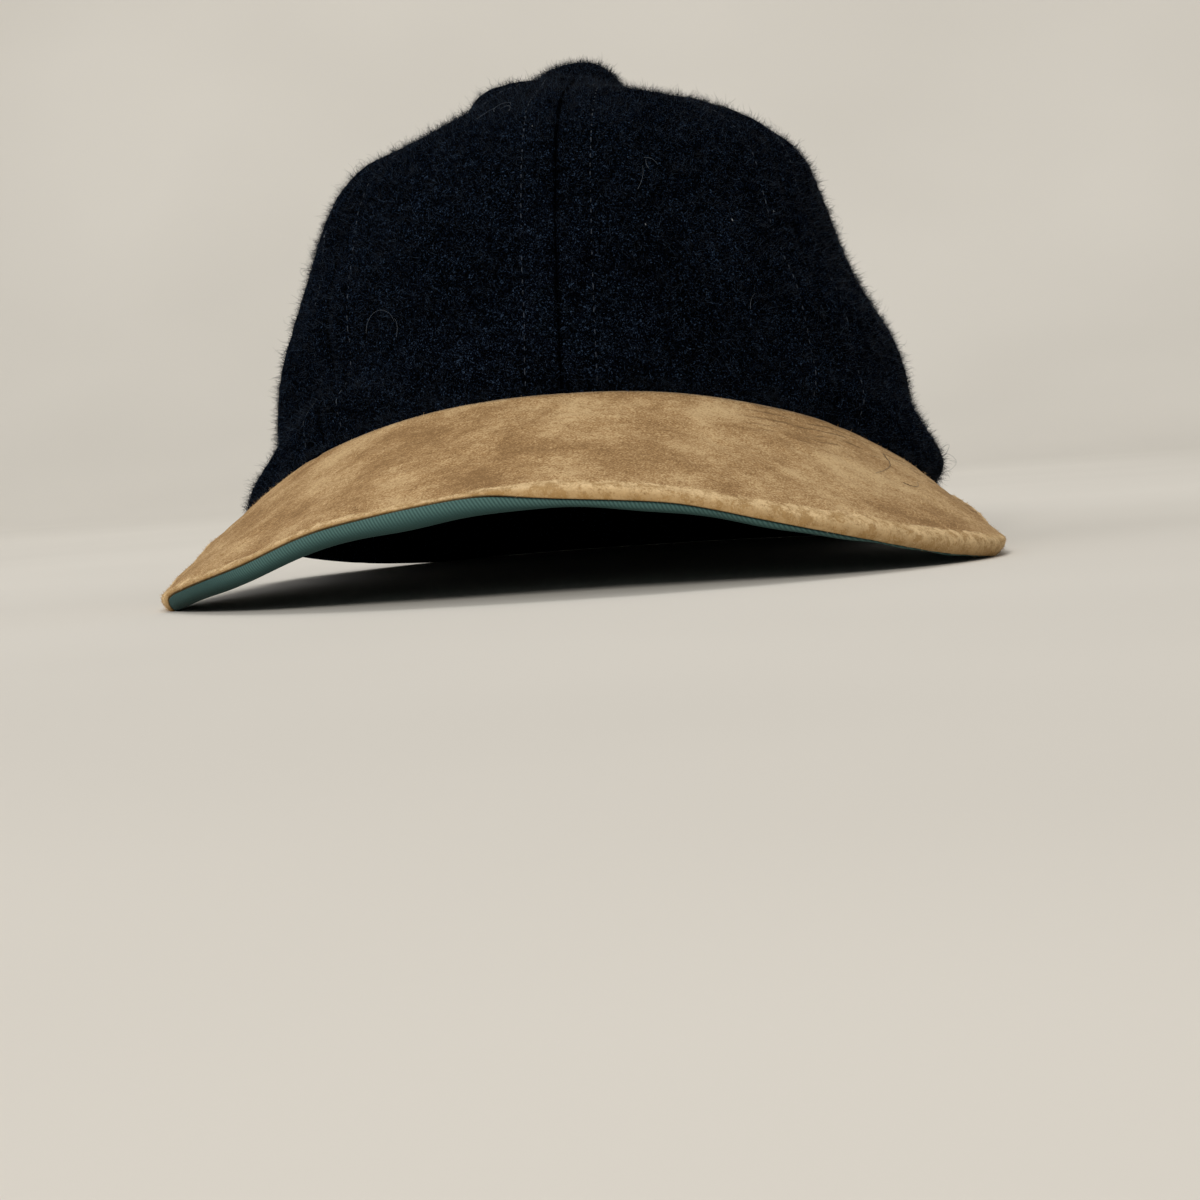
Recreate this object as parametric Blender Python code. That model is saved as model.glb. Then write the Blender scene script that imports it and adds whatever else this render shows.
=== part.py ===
"""Six-panel wool cap with a self-covered button and a suede-topped peak lined in twill.

The cap stands by itself on a flat surface: on the back half of its rim, which lies flat, and on
the two drooping sides of its peak. +Z is up, the peak points along -Y and +X is the wearer's left.
The origin is on that surface, under the middle of the cap.

Each shape is a function of a few named sizes and of short tables, whose rows give shares of them.
"""

import math

import bmesh
import bpy
import numpy as np
from mathutils import Matrix

# Crown, in metres.
CROWN_HALF_WIDTH = 0.0800
CROWN_FRONT_REACH = 0.0950
CROWN_BACK_REACH = 0.0990
CROWN_HEIGHT = 0.1180
OVAL_POWER = 0.94
WOOL_THICKNESS = 0.0024
BUTTON_HOLE_RADIUS = 0.0028
RIM_ARCH = 0.0358
PANEL_SWAG = 0.0022
SEAM_DIP = 0.0008
SEAM_ROLL = 0.0022

# Covered button on the top of the crown.
BUTTON_RADIUS = 0.0097
BUTTON_HEIGHT = 0.0041
BUTTON_SHANK_RADIUS = 0.0020

# Peak: a curved board between a suede top and a twill underside.
PEAK_HALF_WIDTH = 0.0905
PEAK_LEAN = 0.0020
PEAK_REACH = 0.0700
PEAK_DROP = 0.0360
PEAK_THICKNESS = 0.0046
PEAK_END_ANGLE = math.radians(79)

# Clearances between pieces.
SEAM_GAP = 0.0003
SEAT_GAP = 0.0003

# Mesh fineness.
PANEL_COLUMNS = 9
PANEL_ROWS = 16
PEAK_STATIONS = 44
PEAK_ROWS = 7
NOSE_STEPS = 4
BUTTON_SIDES = 24

# Where the six panels meet, in degrees round the rim from the middle of the front.
PANEL_SEAMS = (-180, -117, -53, 0, 49, 115, 180)

# Height of the rim round the cap, as a share of RIM_ARCH, and how far the peak's ends push it out,
# as a share of CROWN_HALF_WIDTH. Angles run from the back by the wearer's right to the back again.
RIM_COLUMNS = ("angle", "height", "flare")
RIM = (
    (-180, 0.000, 0.000),
    (-135, 0.000, 0.000),
    (-118, 0.050, 0.010),
    (-100, 0.160, 0.060),
    (-85, 0.300, 0.105),
    (-72, 0.400, 0.100),
    (-60, 0.555, 0.060),
    (-45, 0.740, 0.020),
    (-30, 0.880, 0.000),
    (-15, 0.970, 0.000),
    (0, 1.000, 0.000),
    (15, 0.965, 0.000),
    (30, 0.855, 0.000),
    (45, 0.695, 0.010),
    (60, 0.465, 0.025),
    (72, 0.290, 0.030),
    (85, 0.190, 0.030),
    (100, 0.120, 0.025),
    (118, 0.045, 0.010),
    (135, 0.000, 0.000),
    (180, 0.000, 0.000),
)

# Outline of the crown from the rim to the top, as shares of its height over the rim and of the
# rim's own distance from the middle, in front, at the sides and behind.
RING_COLUMNS = ("ring", "up", "front", "right", "left", "back")
RINGS = (
    (0, 0.000, 1.000, 1.000, 1.000, 1.000),
    (1, 0.090, 0.990, 0.975, 1.015, 1.000),
    (2, 0.220, 0.965, 0.907, 0.945, 0.985),
    (3, 0.380, 0.925, 0.895, 0.887, 0.950),
    (4, 0.540, 0.865, 0.815, 0.777, 0.895),
    (5, 0.680, 0.790, 0.755, 0.711, 0.820),
    (6, 0.790, 0.690, 0.655, 0.650, 0.725),
    (7, 0.870, 0.575, 0.465, 0.490, 0.600),
    (8, 0.925, 0.430, 0.355, 0.290, 0.450),
    (9, 0.965, 0.270, 0.265, 0.155, 0.280),
    (10, 1.000, 0.000, 0.000, 0.000, 0.000),
)

# Dents and swells of the soft crown: where round the cap and how high, how wide each way, and how
# deep as a share of WOOL_THICKNESS.
DENT_COLUMNS = ("angle", "up", "wide", "tall", "depth")
DENTS = (
    (-80, 0.89, 34, 0.06, 0.9),
    (84, 0.96, 24, 0.05, 0.4),
    (-32, 0.30, 26, 0.12, 0.5),
    (30, 0.62, 22, 0.20, 0.5),
    (150, 0.45, 30, 0.18, 0.8),
    (-150, 0.62, 26, 0.16, 0.7),
)

# Outer edge of the peak from its end on the wearer's right to that on the left: across as a share
# of PEAK_HALF_WIDTH, forward as a share of PEAK_REACH from the front of the crown, and its fall
# below the seam as a share of PEAK_DROP.
EDGE_COLUMNS = ("station", "across", "forward", "fall")
EDGE = (
    (-1.00, -0.985, -1.030, 0.720),
    (-0.94, -0.990, -0.720, 0.780),
    (-0.86, -0.995, -0.350, 0.900),
    (-0.76, -0.995, 0.060, 1.030),
    (-0.68, -0.960, 0.250, 1.030),
    (-0.58, -0.860, 0.480, 0.955),
    (-0.45, -0.700, 0.710, 0.845),
    (-0.30, -0.490, 0.885, 0.670),
    (-0.15, -0.250, 0.975, 0.580),
    (0.00, 0.000, 1.000, 0.520),
    (0.15, 0.250, 0.975, 0.580),
    (0.30, 0.490, 0.885, 0.720),
    (0.45, 0.700, 0.710, 0.850),
    (0.58, 0.860, 0.480, 0.960),
    (0.68, 0.955, 0.250, 1.010),
    (0.76, 0.985, 0.060, 1.030),
    (0.86, 0.975, -0.350, 1.000),
    (0.94, 0.955, -0.720, 0.910),
    (1.00, 0.925, -1.030, 0.830),
)

# Where the suede meets the twill round the nose of the peak's edge, in degrees above its middle,
# from one end of the peak to the other.
EDGE_SEAM_COLUMNS = ("station", "angle")
EDGE_SEAM = (
    (-1.00, 40),
    (-0.60, 55),
    (-0.25, 62),
    (-0.08, 62),
    (-0.01, 10),
    (0.20, 2),
    (0.45, -35),
    (1.00, -55),
)

WOOL = ("navy_wool", (0.006, 0.007, 0.012), 0.95)
SUEDE = ("tan_suede", (0.36, 0.22, 0.105), 0.9)
TWILL = ("green_twill", (0.035, 0.13, 0.12), 0.85)


def through(table, columns, name, at):
    """Reads a column of a table at any value of its first column, along a smooth curve."""
    knots = np.array([row[0] for row in table], float)
    values = np.array([row[columns.index(name)] for row in table], float)
    slopes = np.gradient(values, knots)
    at = np.clip(np.asarray(at, float), knots[0], knots[-1])
    left = np.clip(np.searchsorted(knots, at, side="right") - 1, 0, len(knots) - 2)
    span = knots[left + 1] - knots[left]
    s = (at - knots[left]) / span
    return (
        (1 + 2 * s) * (1 - s) ** 2 * values[left]
        + s * (1 - s) ** 2 * span * slopes[left]
        + s**2 * (3 - 2 * s) * values[left + 1]
        + s**2 * (s - 1) * span * slopes[left + 1]
    )


def in_degrees(angle):
    """Brings an angle in radians to degrees between -180 and 180, 0 in front."""
    return (np.degrees(angle) + 180) % 360 - 180


def rim_height(angle):
    """Height of the rim over the surface; its back half lies flat on it."""
    return np.maximum(RIM_ARCH * through(RIM, RIM_COLUMNS, "height", in_degrees(angle)), 0)


def rim_plan(angle):
    """The rim seen from above: an oval whose front and back reach differ, flared at the peak's ends."""
    flare = through(RIM, RIM_COLUMNS, "flare", in_degrees(angle))
    reach = (CROWN_FRONT_REACH + CROWN_BACK_REACH) / 2
    lean = (CROWN_FRONT_REACH - CROWN_BACK_REACH) / 2
    sine, cosine = np.sin(angle), np.cos(angle)
    across = CROWN_HALF_WIDTH * (1 + flare) * np.sign(sine) * np.abs(sine) ** OVAL_POWER
    return across, -(reach + lean * cosine) * np.sign(cosine) * np.abs(cosine) ** OVAL_POWER


def seam_distance(angle, radius):
    """Distance along the wool to the nearest seam between two panels."""
    degrees = in_degrees(angle)
    nearest = np.min([np.abs(degrees - seam) for seam in PANEL_SEAMS], axis=0)
    return np.radians(nearest) * radius


def panel_share(angle):
    """0 at both seams of a panel and 1 down its middle."""
    degrees = in_degrees(angle)
    panel = np.clip(np.searchsorted(PANEL_SEAMS, degrees, side="right") - 1, 0, len(PANEL_SEAMS) - 2)
    seams = np.array(PANEL_SEAMS, float)
    return np.sin(math.pi * (degrees - seams[panel]) / (seams[panel + 1] - seams[panel]))


def dents(angle, up):
    """Depth of the crown's soft dents: a round hollow for each row of the table."""
    degrees = in_degrees(angle)
    depth = np.zeros_like(np.asarray(up + angle, float))
    for centre, height, wide, tall, deep in DENTS:
        away = (degrees - centre + 180) % 360 - 180
        depth += deep * np.exp(-((away / wide) ** 2) - ((up - height) / tall) ** 2)
    return depth * WOOL_THICKNESS


def crown_point(angle, ring):
    """A point on the outside of the crown: angle round from the front, ring 0 at the rim to 1 on top.

    The rings' outline is read from the table, turned with the angle from front through side to
    back. The wool swags a little between its seams, sinks at them and has the table's dents.
    """
    angle, ring = np.broadcast_arrays(np.asarray(angle, float), np.asarray(ring, float))
    level = ring * RINGS[-1][0]
    up = through(RINGS, RING_COLUMNS, "up", level)
    front = np.clip(np.cos(angle), 0, 1) ** 2
    back = np.clip(-np.cos(angle), 0, 1) ** 2
    right = through(RINGS, RING_COLUMNS, "right", level)
    left = through(RINGS, RING_COLUMNS, "left", level)
    out = (
        front * through(RINGS, RING_COLUMNS, "front", level)
        + back * through(RINGS, RING_COLUMNS, "back", level)
        + (1 - front - back) * np.where(np.sin(angle) > 0, left, right)
    )
    across, along = rim_plan(angle)
    radius = np.hypot(across, along)
    rim = rim_height(angle)
    soft = np.sin(math.pi * np.clip(up, 0, 1)) ** 0.5
    inwards = PANEL_SWAG * soft * panel_share(angle) + dents(angle, up)
    inwards += SEAM_DIP * np.exp(-((seam_distance(angle, radius * out) / SEAM_ROLL) ** 2)) * (up > 0)
    scale = np.maximum(out - inwards * np.minimum(out * 3, 1) / radius, 0)
    height = rim + up * (CROWN_HEIGHT - rim) - inwards * np.clip(1 - out, 0, 1)
    return np.stack([across * scale, along * scale, height], axis=-1)


def crown_normal(angle, ring):
    """Direction out of the crown, from the slopes of its surface both ways."""
    step = 1e-3
    low = np.clip(np.asarray(ring, float) - step, 0, 1)
    high = np.clip(np.asarray(ring, float) + step, 0, 1)
    along = crown_point(angle, high) - crown_point(angle, low)
    across = crown_point(angle + step, ring) - crown_point(angle - step, ring)
    normal = np.cross(across, along)
    return normal / np.linalg.norm(normal, axis=-1, keepdims=True)


def ring_where(reached, angle, low, high):
    """The ring of the crown, between two others, from which a test of its points holds."""
    low, high = np.full_like(angle, low), np.full_like(angle, high)
    for _ in range(30):
        middle = (low + high) / 2
        done = reached(crown_point(angle, middle))
        low, high = np.where(done, low, middle), np.where(done, middle, high)
    return (low + high) / 2


def ring_at_height(angle, height):
    """The ring of the crown that lies at a height over the surface."""
    return ring_where(lambda point: point[..., 2] >= height, angle, 0, 0.6)


def ring_at_radius(angle, radius):
    """The ring at which the crown's top closes to a radius round its middle."""
    return ring_where(lambda point: np.hypot(point[..., 0], point[..., 1]) <= radius, angle, 0.6, 1)


def make_object(name, points, faces, finish):
    """One named object from its points and faces, in its own material."""
    mesh = bpy.data.meshes.new(name)
    mesh.from_pydata([tuple(point) for point in points], [], faces)
    shape = bmesh.new()
    shape.from_mesh(mesh)
    bmesh.ops.triangulate(shape, faces=[face for face in shape.faces if len(face.verts) > 4])
    bmesh.ops.recalc_face_normals(shape, faces=shape.faces)
    shape.to_mesh(mesh)
    shape.free()
    mesh.shade_smooth()
    mesh.set_sharp_from_angle(angle=math.radians(50))
    piece = bpy.data.objects.new(name, mesh)
    piece.data.materials.append(material_of(*finish))
    bpy.context.scene.collection.objects.link(piece)
    return piece


def material_of(name, colour, roughness):
    """A Principled material, made once for each finish."""
    material = bpy.data.materials.get(name)
    if material is None:
        material = bpy.data.materials.new(name)
        material.use_nodes = True
        shader = material.node_tree.nodes["Principled BSDF"]
        shader.inputs["Base Color"].default_value = (*colour, 1)
        shader.inputs["Roughness"].default_value = roughness
        shader.inputs["Metallic"].default_value = 0
    return material


def loft(sections):
    """Faces round a row of closed sections, each with the same number of points, capped at both ends."""
    count, around = len(sections), len(sections[0])
    faces = [
        (
            i * around + j,
            i * around + (j + 1) % around,
            (i + 1) * around + (j + 1) % around,
            (i + 1) * around + j,
        )
        for i in range(count - 1)
        for j in range(around)
    ]
    faces.append(tuple(reversed(range(around))))
    faces.append(tuple((count - 1) * around + j for j in range(around)))
    return np.concatenate(sections), faces


def beside_plane(angle):
    """Direction square to the upright plane through the crown's middle at an angle, towards the next."""
    across, along = rim_plan(angle)
    beside = np.stack([-along, across, np.zeros_like(across)], axis=-1)
    return beside / np.linalg.norm(beside, axis=-1, keepdims=True)


def wool_inside(angle, ring):
    """The inside of the wool: the outside set in square to it, within each angle's upright plane."""
    normal = crown_normal(angle, ring)
    beside = beside_plane(angle)
    normal -= np.sum(normal * beside, axis=-1, keepdims=True) * beside
    normal /= np.linalg.norm(normal, axis=-1, keepdims=True)
    return crown_point(angle, ring) - WOOL_THICKNESS * normal


def against_seam(points, angle, gap):
    """Moves points flat against a seam's upright plane, a gap from it on one side."""
    beside = beside_plane(angle)
    return points + (gap - points @ beside)[:, None] * beside


def crown_panel(name, start, end):
    """One panel of the crown between two seams, a wall of wool with a narrow gap to its neighbours.

    Its sections run up the panel from the rim to the button's hole, outside and then inside.
    """
    shares = np.sin(np.linspace(0, math.pi / 2, PANEL_ROWS + 1)) ** 0.85
    middle = np.full(PANEL_ROWS + 1, math.radians((start + end) / 2))
    middle = crown_point(middle, shares * ring_at_radius(middle, BUTTON_HOLE_RADIUS))
    radius = np.hypot(middle[:, 0], middle[:, 1])
    inset = np.arcsin(np.clip(SEAM_GAP / 2 / radius, 0, 1))
    roll = np.minimum(SEAM_ROLL / radius, math.radians(end - start) / PANEL_COLUMNS)
    sections = []
    for column in range(PANEL_COLUMNS + 3):
        share = np.clip((column - 1) / PANEL_COLUMNS, 0, 1)
        low = math.radians(start) + inset + (roll if column > 0 else 0)
        high = math.radians(end) - inset - (roll if column < PANEL_COLUMNS + 2 else 0)
        angles = low + (high - low) * share
        rings = shares * ring_at_radius(angles[-1:], BUTTON_HOLE_RADIUS)
        outside = crown_point(angles, rings)
        inside = wool_inside(angles, rings)
        inside[0, 2] = outside[0, 2]
        section = np.concatenate([outside, inside[::-1]])
        if column == 0:
            section = against_seam(section, math.radians(start), SEAM_GAP / 2)
        elif column == PANEL_COLUMNS + 2:
            section = against_seam(section, math.radians(end), -SEAM_GAP / 2)
        sections.append(section)
    return make_object(name, *loft(sections), WOOL)


def button():
    """A wool-covered button: a low dome on the crown's top, with a shank down its hole."""
    rows = []
    angles = np.linspace(0, 2 * math.pi, BUTTON_SIDES, endpoint=False)
    top = crown_point(0.0, 1.0)[2]
    under = top - WOOL_THICKNESS

    def circle(radius, height):
        heights = np.broadcast_to(height, angles.shape)
        return np.stack([radius * np.sin(angles), -radius * np.cos(angles), heights], axis=-1)

    def seat(radius):
        return crown_point(angles, ring_at_radius(angles, radius))[:, 2] + SEAT_GAP

    rows.append(circle(BUTTON_SHANK_RADIUS, under))
    rows.append(circle(BUTTON_SHANK_RADIUS, seat(BUTTON_HOLE_RADIUS)))
    rows.append(circle(BUTTON_RADIUS * 0.6, seat(BUTTON_RADIUS * 0.6)))
    rows.append(circle(BUTTON_RADIUS * 0.96, seat(BUTTON_RADIUS * 0.96)))
    for turn in np.radians((12, 32, 52, 70, 82)):
        edge = seat(BUTTON_RADIUS)
        height = edge + (top + BUTTON_HEIGHT - edge) * math.sin(turn)
        rows.append(circle(BUTTON_RADIUS * math.cos(turn) ** 0.7, height))
    return make_object("crown_button", *loft(rows), WOOL)


def peak_edge(station):
    """The peak's outer edge at a station from -1 on the wearer's right to 1 on the left."""
    forward = through(EDGE, EDGE_COLUMNS, "forward", station)
    across = PEAK_HALF_WIDTH * through(EDGE, EDGE_COLUMNS, "across", station)
    across += PEAK_LEAN * np.clip(1 + forward, 0, 1)
    height = RIM_ARCH + PEAK_THICKNESS / 2 - PEAK_DROP * through(EDGE, EDGE_COLUMNS, "fall", station)
    return np.stack([across, -CROWN_FRONT_REACH - PEAK_REACH * forward, height], axis=-1)


def peak_sections():
    """Sections across the peak, from the crown to the rounded edge, split into suede and twill.

    Each section starts on the crown's face, at the rim and one peak thickness above it, runs
    straight to the edge and turns round a half-circle nose. The split runs down its middle and
    comes out of the nose where the edge seam's table says.
    """
    stations = np.linspace(-1, 1, PEAK_STATIONS + 1)
    angles = stations * PEAK_END_ANGLE
    half = PEAK_THICKNESS / 2
    rim = rim_height(angles)
    outwards = crown_normal(angles, np.full_like(angles, 0.02))
    outwards[:, 2] = 0
    outwards /= np.linalg.norm(outwards, axis=-1, keepdims=True)
    low = crown_point(angles, 0.0) + SEAT_GAP * outwards
    high = crown_point(angles, ring_at_height(angles, rim + PEAK_THICKNESS)) + SEAT_GAP * outwards
    root = (low + high) / 2
    edge = peak_edge(stations)
    reach = edge - root
    length = np.linalg.norm(reach, axis=-1, keepdims=True)
    forward = reach / length
    along = np.gradient((root + edge) / 2, axis=0)
    up = np.cross(along, forward)
    up /= np.linalg.norm(up, axis=-1, keepdims=True)
    up *= np.sign(up[:, 2:3])
    seam = np.radians(through(EDGE_SEAM, EDGE_SEAM_COLUMNS, "angle", stations))
    return low, high, root, edge, forward, up, half, seam


def peak_layer(name, finish, side):
    """The suede top of the peak, side 1, or its twill underside, side -1."""
    low, high, root, edge, forward, up, half, seam = peak_sections()
    gap = SEAM_GAP / 2
    face = high if side > 0 else low
    sections = []
    for i in range(len(root)):
        centre = edge[i] - half * forward[i]
        shoulder = centre + side * half * up[i]
        shares = np.linspace(0, 1, PEAK_ROWS)[:, None]
        points = [face[i] + (shoulder - face[i]) * shares]
        turns = np.linspace(side * math.pi / 2, seam[i] + side * gap / half, NOSE_STEPS + 1)[1:, None]
        points.append(centre + half * (np.cos(turns) * forward[i] + np.sin(turns) * up[i]))
        inner = centre - half * forward[i] + side * gap * up[i]
        back = root[i] + side * gap * up[i]
        shares = np.linspace(0, 1, 3)[:, None]
        points.append(inner + (back - inner) * shares)
        section = np.concatenate(points)
        section[:, 2] = np.maximum(section[:, 2], 0)
        sections.append(section)
    return make_object(name, *loft(sections), finish)


def to_origin(pieces):
    """Moves the cap so that the origin lies under the middle of its overall box."""
    corners = np.concatenate([[corner[:] for corner in piece.bound_box] for piece in pieces])
    middle = (corners.min(axis=0) + corners.max(axis=0)) / 2
    middle[2] = corners[:, 2].min()
    for piece in pieces:
        piece.data.transform(Matrix.Translation(-middle))


def build():
    """Clears the scene and makes every piece of the cap."""
    for old in list(bpy.data.objects):
        bpy.data.objects.remove(old)
    names = ("back_right", "side_right", "front_right", "front_left", "side_left", "back_left")
    pieces = [
        crown_panel(f"crown_panel_{name}", start, end)
        for name, start, end in zip(names, PANEL_SEAMS[:-1], PANEL_SEAMS[1:])
    ]
    pieces.append(button())
    pieces.append(peak_layer("peak_top_suede", SUEDE, 1))
    pieces.append(peak_layer("peak_underside_twill", TWILL, -1))
    to_origin(pieces)


build()
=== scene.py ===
"""Looks of a six-panel wool cap with a suede-topped peak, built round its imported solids.

The crown is six panels of melton wool under a raised nap, with a row of stitches on each side of
every seam. The peak is tan suede over a green twill. Lengths are in metres, +Z is up, the peak
points along -Y and +X is the wearer's left. Angles go round the crown from the middle of its front,
positive towards the wearer's left, and a ring goes from 0 at the rim to 1 on the top.
"""

import logging
import math
from collections.abc import Callable, Sequence
from dataclasses import dataclass, field
from enum import Enum

import bmesh
import bpy
import numpy as np
from mathutils import Matrix, Vector


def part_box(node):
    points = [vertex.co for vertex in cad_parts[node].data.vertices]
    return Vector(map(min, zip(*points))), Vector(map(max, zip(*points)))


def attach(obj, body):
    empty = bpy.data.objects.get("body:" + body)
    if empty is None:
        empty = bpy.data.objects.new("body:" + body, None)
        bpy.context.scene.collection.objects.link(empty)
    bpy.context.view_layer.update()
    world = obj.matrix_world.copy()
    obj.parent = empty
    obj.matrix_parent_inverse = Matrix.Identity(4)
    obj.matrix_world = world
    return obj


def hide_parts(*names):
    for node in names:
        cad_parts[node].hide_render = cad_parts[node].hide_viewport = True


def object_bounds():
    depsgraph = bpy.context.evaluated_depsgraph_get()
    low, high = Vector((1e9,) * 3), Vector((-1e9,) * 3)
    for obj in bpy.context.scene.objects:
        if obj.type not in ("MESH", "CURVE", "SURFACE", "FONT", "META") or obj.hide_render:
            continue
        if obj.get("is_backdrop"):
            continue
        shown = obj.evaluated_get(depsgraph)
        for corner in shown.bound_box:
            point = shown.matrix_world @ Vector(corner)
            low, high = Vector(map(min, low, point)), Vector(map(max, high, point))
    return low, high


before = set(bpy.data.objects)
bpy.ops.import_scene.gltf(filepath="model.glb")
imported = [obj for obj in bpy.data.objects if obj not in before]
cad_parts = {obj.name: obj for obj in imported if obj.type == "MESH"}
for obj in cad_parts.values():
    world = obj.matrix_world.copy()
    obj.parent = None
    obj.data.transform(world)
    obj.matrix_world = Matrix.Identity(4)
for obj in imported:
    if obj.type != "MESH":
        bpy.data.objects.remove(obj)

Array = np.ndarray
Colour = tuple[float, float, float, float]
Material = bpy.types.Material
Piece = bpy.types.Object
Point = tuple[float, float, float]
Socket = bpy.types.NodeSocket

BODY = "root"
MM = 0.001
FLOOR_CLEARANCE = 0.02 * MM
TUBE_SIDES = 5
SHARP_EDGE = math.radians(60)

log = logging.getLogger("cap")


class Slot(Enum):
    """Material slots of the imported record."""

    WOOL = "navy_wool"
    SUEDE = "tan_suede"
    TWILL = "green_twill"


class Side(Enum):
    """The two faces of the peak, as the sign of their direction from its middle."""

    TOP = 1
    UNDER = -1


@dataclass(frozen=True)
class Table:
    """Rows of given values, read along a smooth curve through them."""

    columns: tuple[str, ...]
    rows: tuple[tuple[float, ...], ...]

    def read(self, name: str, at: Array | float) -> Array:
        """Reads a column at any value of the first one: a cubic Hermite curve through the rows.

        Args:
            name: The column that is read.
            at: Values of the first column.

        Returns:
            The column's value at each of them.
        """
        knots = np.array([row[0] for row in self.rows], float)
        values = np.array([row[self.columns.index(name)] for row in self.rows], float)
        slopes = np.gradient(values, knots)
        at = np.clip(np.asarray(at, float), knots[0], knots[-1])
        left = np.clip(np.searchsorted(knots, at, side="right") - 1, 0, len(knots) - 2)
        span = knots[left + 1] - knots[left]
        s = (at - knots[left]) / span
        return (
            (1 + 2 * s) * (1 - s) ** 2 * values[left]
            + s * (1 - s) ** 2 * span * slopes[left]
            + s**2 * (3 - 2 * s) * values[left + 1]
            + s**2 * (s - 1) * span * slopes[left + 1]
        )

    def each(self) -> list[dict[str, float]]:
        """Returns the rows as dictionaries by column name."""
        return [dict(zip(self.columns, row)) for row in self.rows]


RIM = Table(
    ("angle", "height", "flare"),
    (
        (-180, 0, 0), (-135, 0, 0), (-118, 0.05, 0.01), (-100, 0.16, 0.06), (-85, 0.3, 0.105),
        (-72, 0.4, 0.1), (-60, 0.555, 0.06), (-45, 0.74, 0.02), (-30, 0.88, 0), (-15, 0.97, 0),
        (0, 1, 0), (15, 0.965, 0), (30, 0.855, 0), (45, 0.695, 0.01), (60, 0.465, 0.025),
        (72, 0.29, 0.03), (85, 0.19, 0.03), (100, 0.12, 0.025), (118, 0.045, 0.01), (135, 0, 0),
        (180, 0, 0),
    ),
)

RINGS = Table(
    ("ring", "up", "front", "right", "left", "back"),
    (
        (0, 0, 1, 1, 1, 1), (1, 0.09, 0.99, 0.975, 1.015, 1),
        (2, 0.22, 0.965, 0.907, 0.945, 0.985), (3, 0.38, 0.925, 0.895, 0.887, 0.95),
        (4, 0.54, 0.865, 0.815, 0.777, 0.895), (5, 0.68, 0.79, 0.755, 0.711, 0.82),
        (6, 0.79, 0.69, 0.655, 0.65, 0.725), (7, 0.87, 0.575, 0.465, 0.49, 0.6),
        (8, 0.925, 0.43, 0.355, 0.29, 0.45), (9, 0.965, 0.27, 0.265, 0.155, 0.28),
        (10, 1, 0, 0, 0, 0),
    ),
)

DENTS = Table(
    ("angle", "up", "wide", "tall", "depth"),
    (
        (-80, 0.89, 34, 0.06, 0.9), (84, 0.96, 24, 0.05, 0.4), (-32, 0.3, 26, 0.12, 0.5),
        (30, 0.62, 22, 0.2, 0.5), (150, 0.45, 30, 0.18, 0.8), (-150, 0.62, 26, 0.16, 0.7),
    ),
)

# Soft folds that only the cloth has: a bell in angle and height, its depth a share of the wool's.
FOLDS = Table(
    ("angle", "up", "wide", "tall", "depth"),
    (
        (-56, 0.275, 10, 0.06, 1.05), (-45, 0.17, 20, 0.035, -0.7), (-44, 0.085, 30, 0.032, 0.75),
        (-84, 0.24, 16, 0.08, -0.6), (-90, 0.05, 18, 0.07, -0.75), (-86, 0.44, 16, 0.08, 0.35),
        (49, 0.075, 12, 0.045, 1.2), (69, 0.16, 9, 0.06, -0.45), (92, 0.015, 20, 0.055, 2.2),
        (90, 0.07, 14, 0.035, 1.25), (90, 0.22, 14, 0.08, 0.5), (-60, 0.955, 44, 0.026, -0.28),
        (-80, 0.974, 50, 0.014, -0.8), (75, 0.962, 60, 0.022, 1.7), (75, 0.93, 50, 0.022, 0.75),
        (-65, 0.9, 40, 0.04, 0.45), (-74, 0.185, 16, 0.035, 0.55), (-77, 0.095, 14, 0.035, -0.45),
        (118, 0.3, 16, 0.1, 0.35), (-120, 0.28, 18, 0.09, 0.35), (170, 0.2, 30, 0.08, 0.3),
    ),
)

# How far the front's two side seams bend away from an upright plane up the crown, in degrees.
SEAM_BEND = Table(
    ("ring", "right", "left"),
    (
        (0, 6.7, -4.5), (0.1, 6.3, -3.2), (0.2, 5.6, -0.8), (0.3, 4.4, -0.2), (0.38, 1.6, 0.6),
        (0.45, -1.8, 2.4), (0.6, -5.2, 6), (0.8, -7, 9.5), (1, -7, 11),
    ),
)

EDGE = Table(
    ("station", "across", "forward", "fall"),
    (
        (-1, -0.985, -1.03, 0.72), (-0.94, -0.99, -0.72, 0.78), (-0.86, -0.995, -0.35, 0.9),
        (-0.76, -0.995, 0.06, 1.03), (-0.68, -0.96, 0.25, 1.03), (-0.58, -0.86, 0.48, 0.955),
        (-0.45, -0.7, 0.71, 0.845), (-0.3, -0.49, 0.885, 0.67), (-0.15, -0.25, 0.975, 0.58),
        (0, 0, 1, 0.52), (0.15, 0.25, 0.975, 0.58), (0.3, 0.49, 0.885, 0.72),
        (0.45, 0.7, 0.71, 0.85), (0.58, 0.86, 0.48, 0.96), (0.68, 0.955, 0.25, 1.01),
        (0.76, 0.985, 0.06, 1.03), (0.86, 0.975, -0.35, 1), (0.94, 0.955, -0.72, 0.91),
        (1, 0.925, -1.03, 0.83),
    ),
)

EDGE_SEAM = Table(
    ("station", "angle"),
    (
        (-1, 40), (-0.9, 0), (-0.82, -45), (-0.7, -55), (-0.675, -45), (-0.655, 40), (-0.64, 54),
        (-0.6, 55), (-0.25, 62), (-0.08, 62), (-0.01, 10), (0.2, 2), (0.45, -35), (1, -55),
    ),
)

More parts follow.
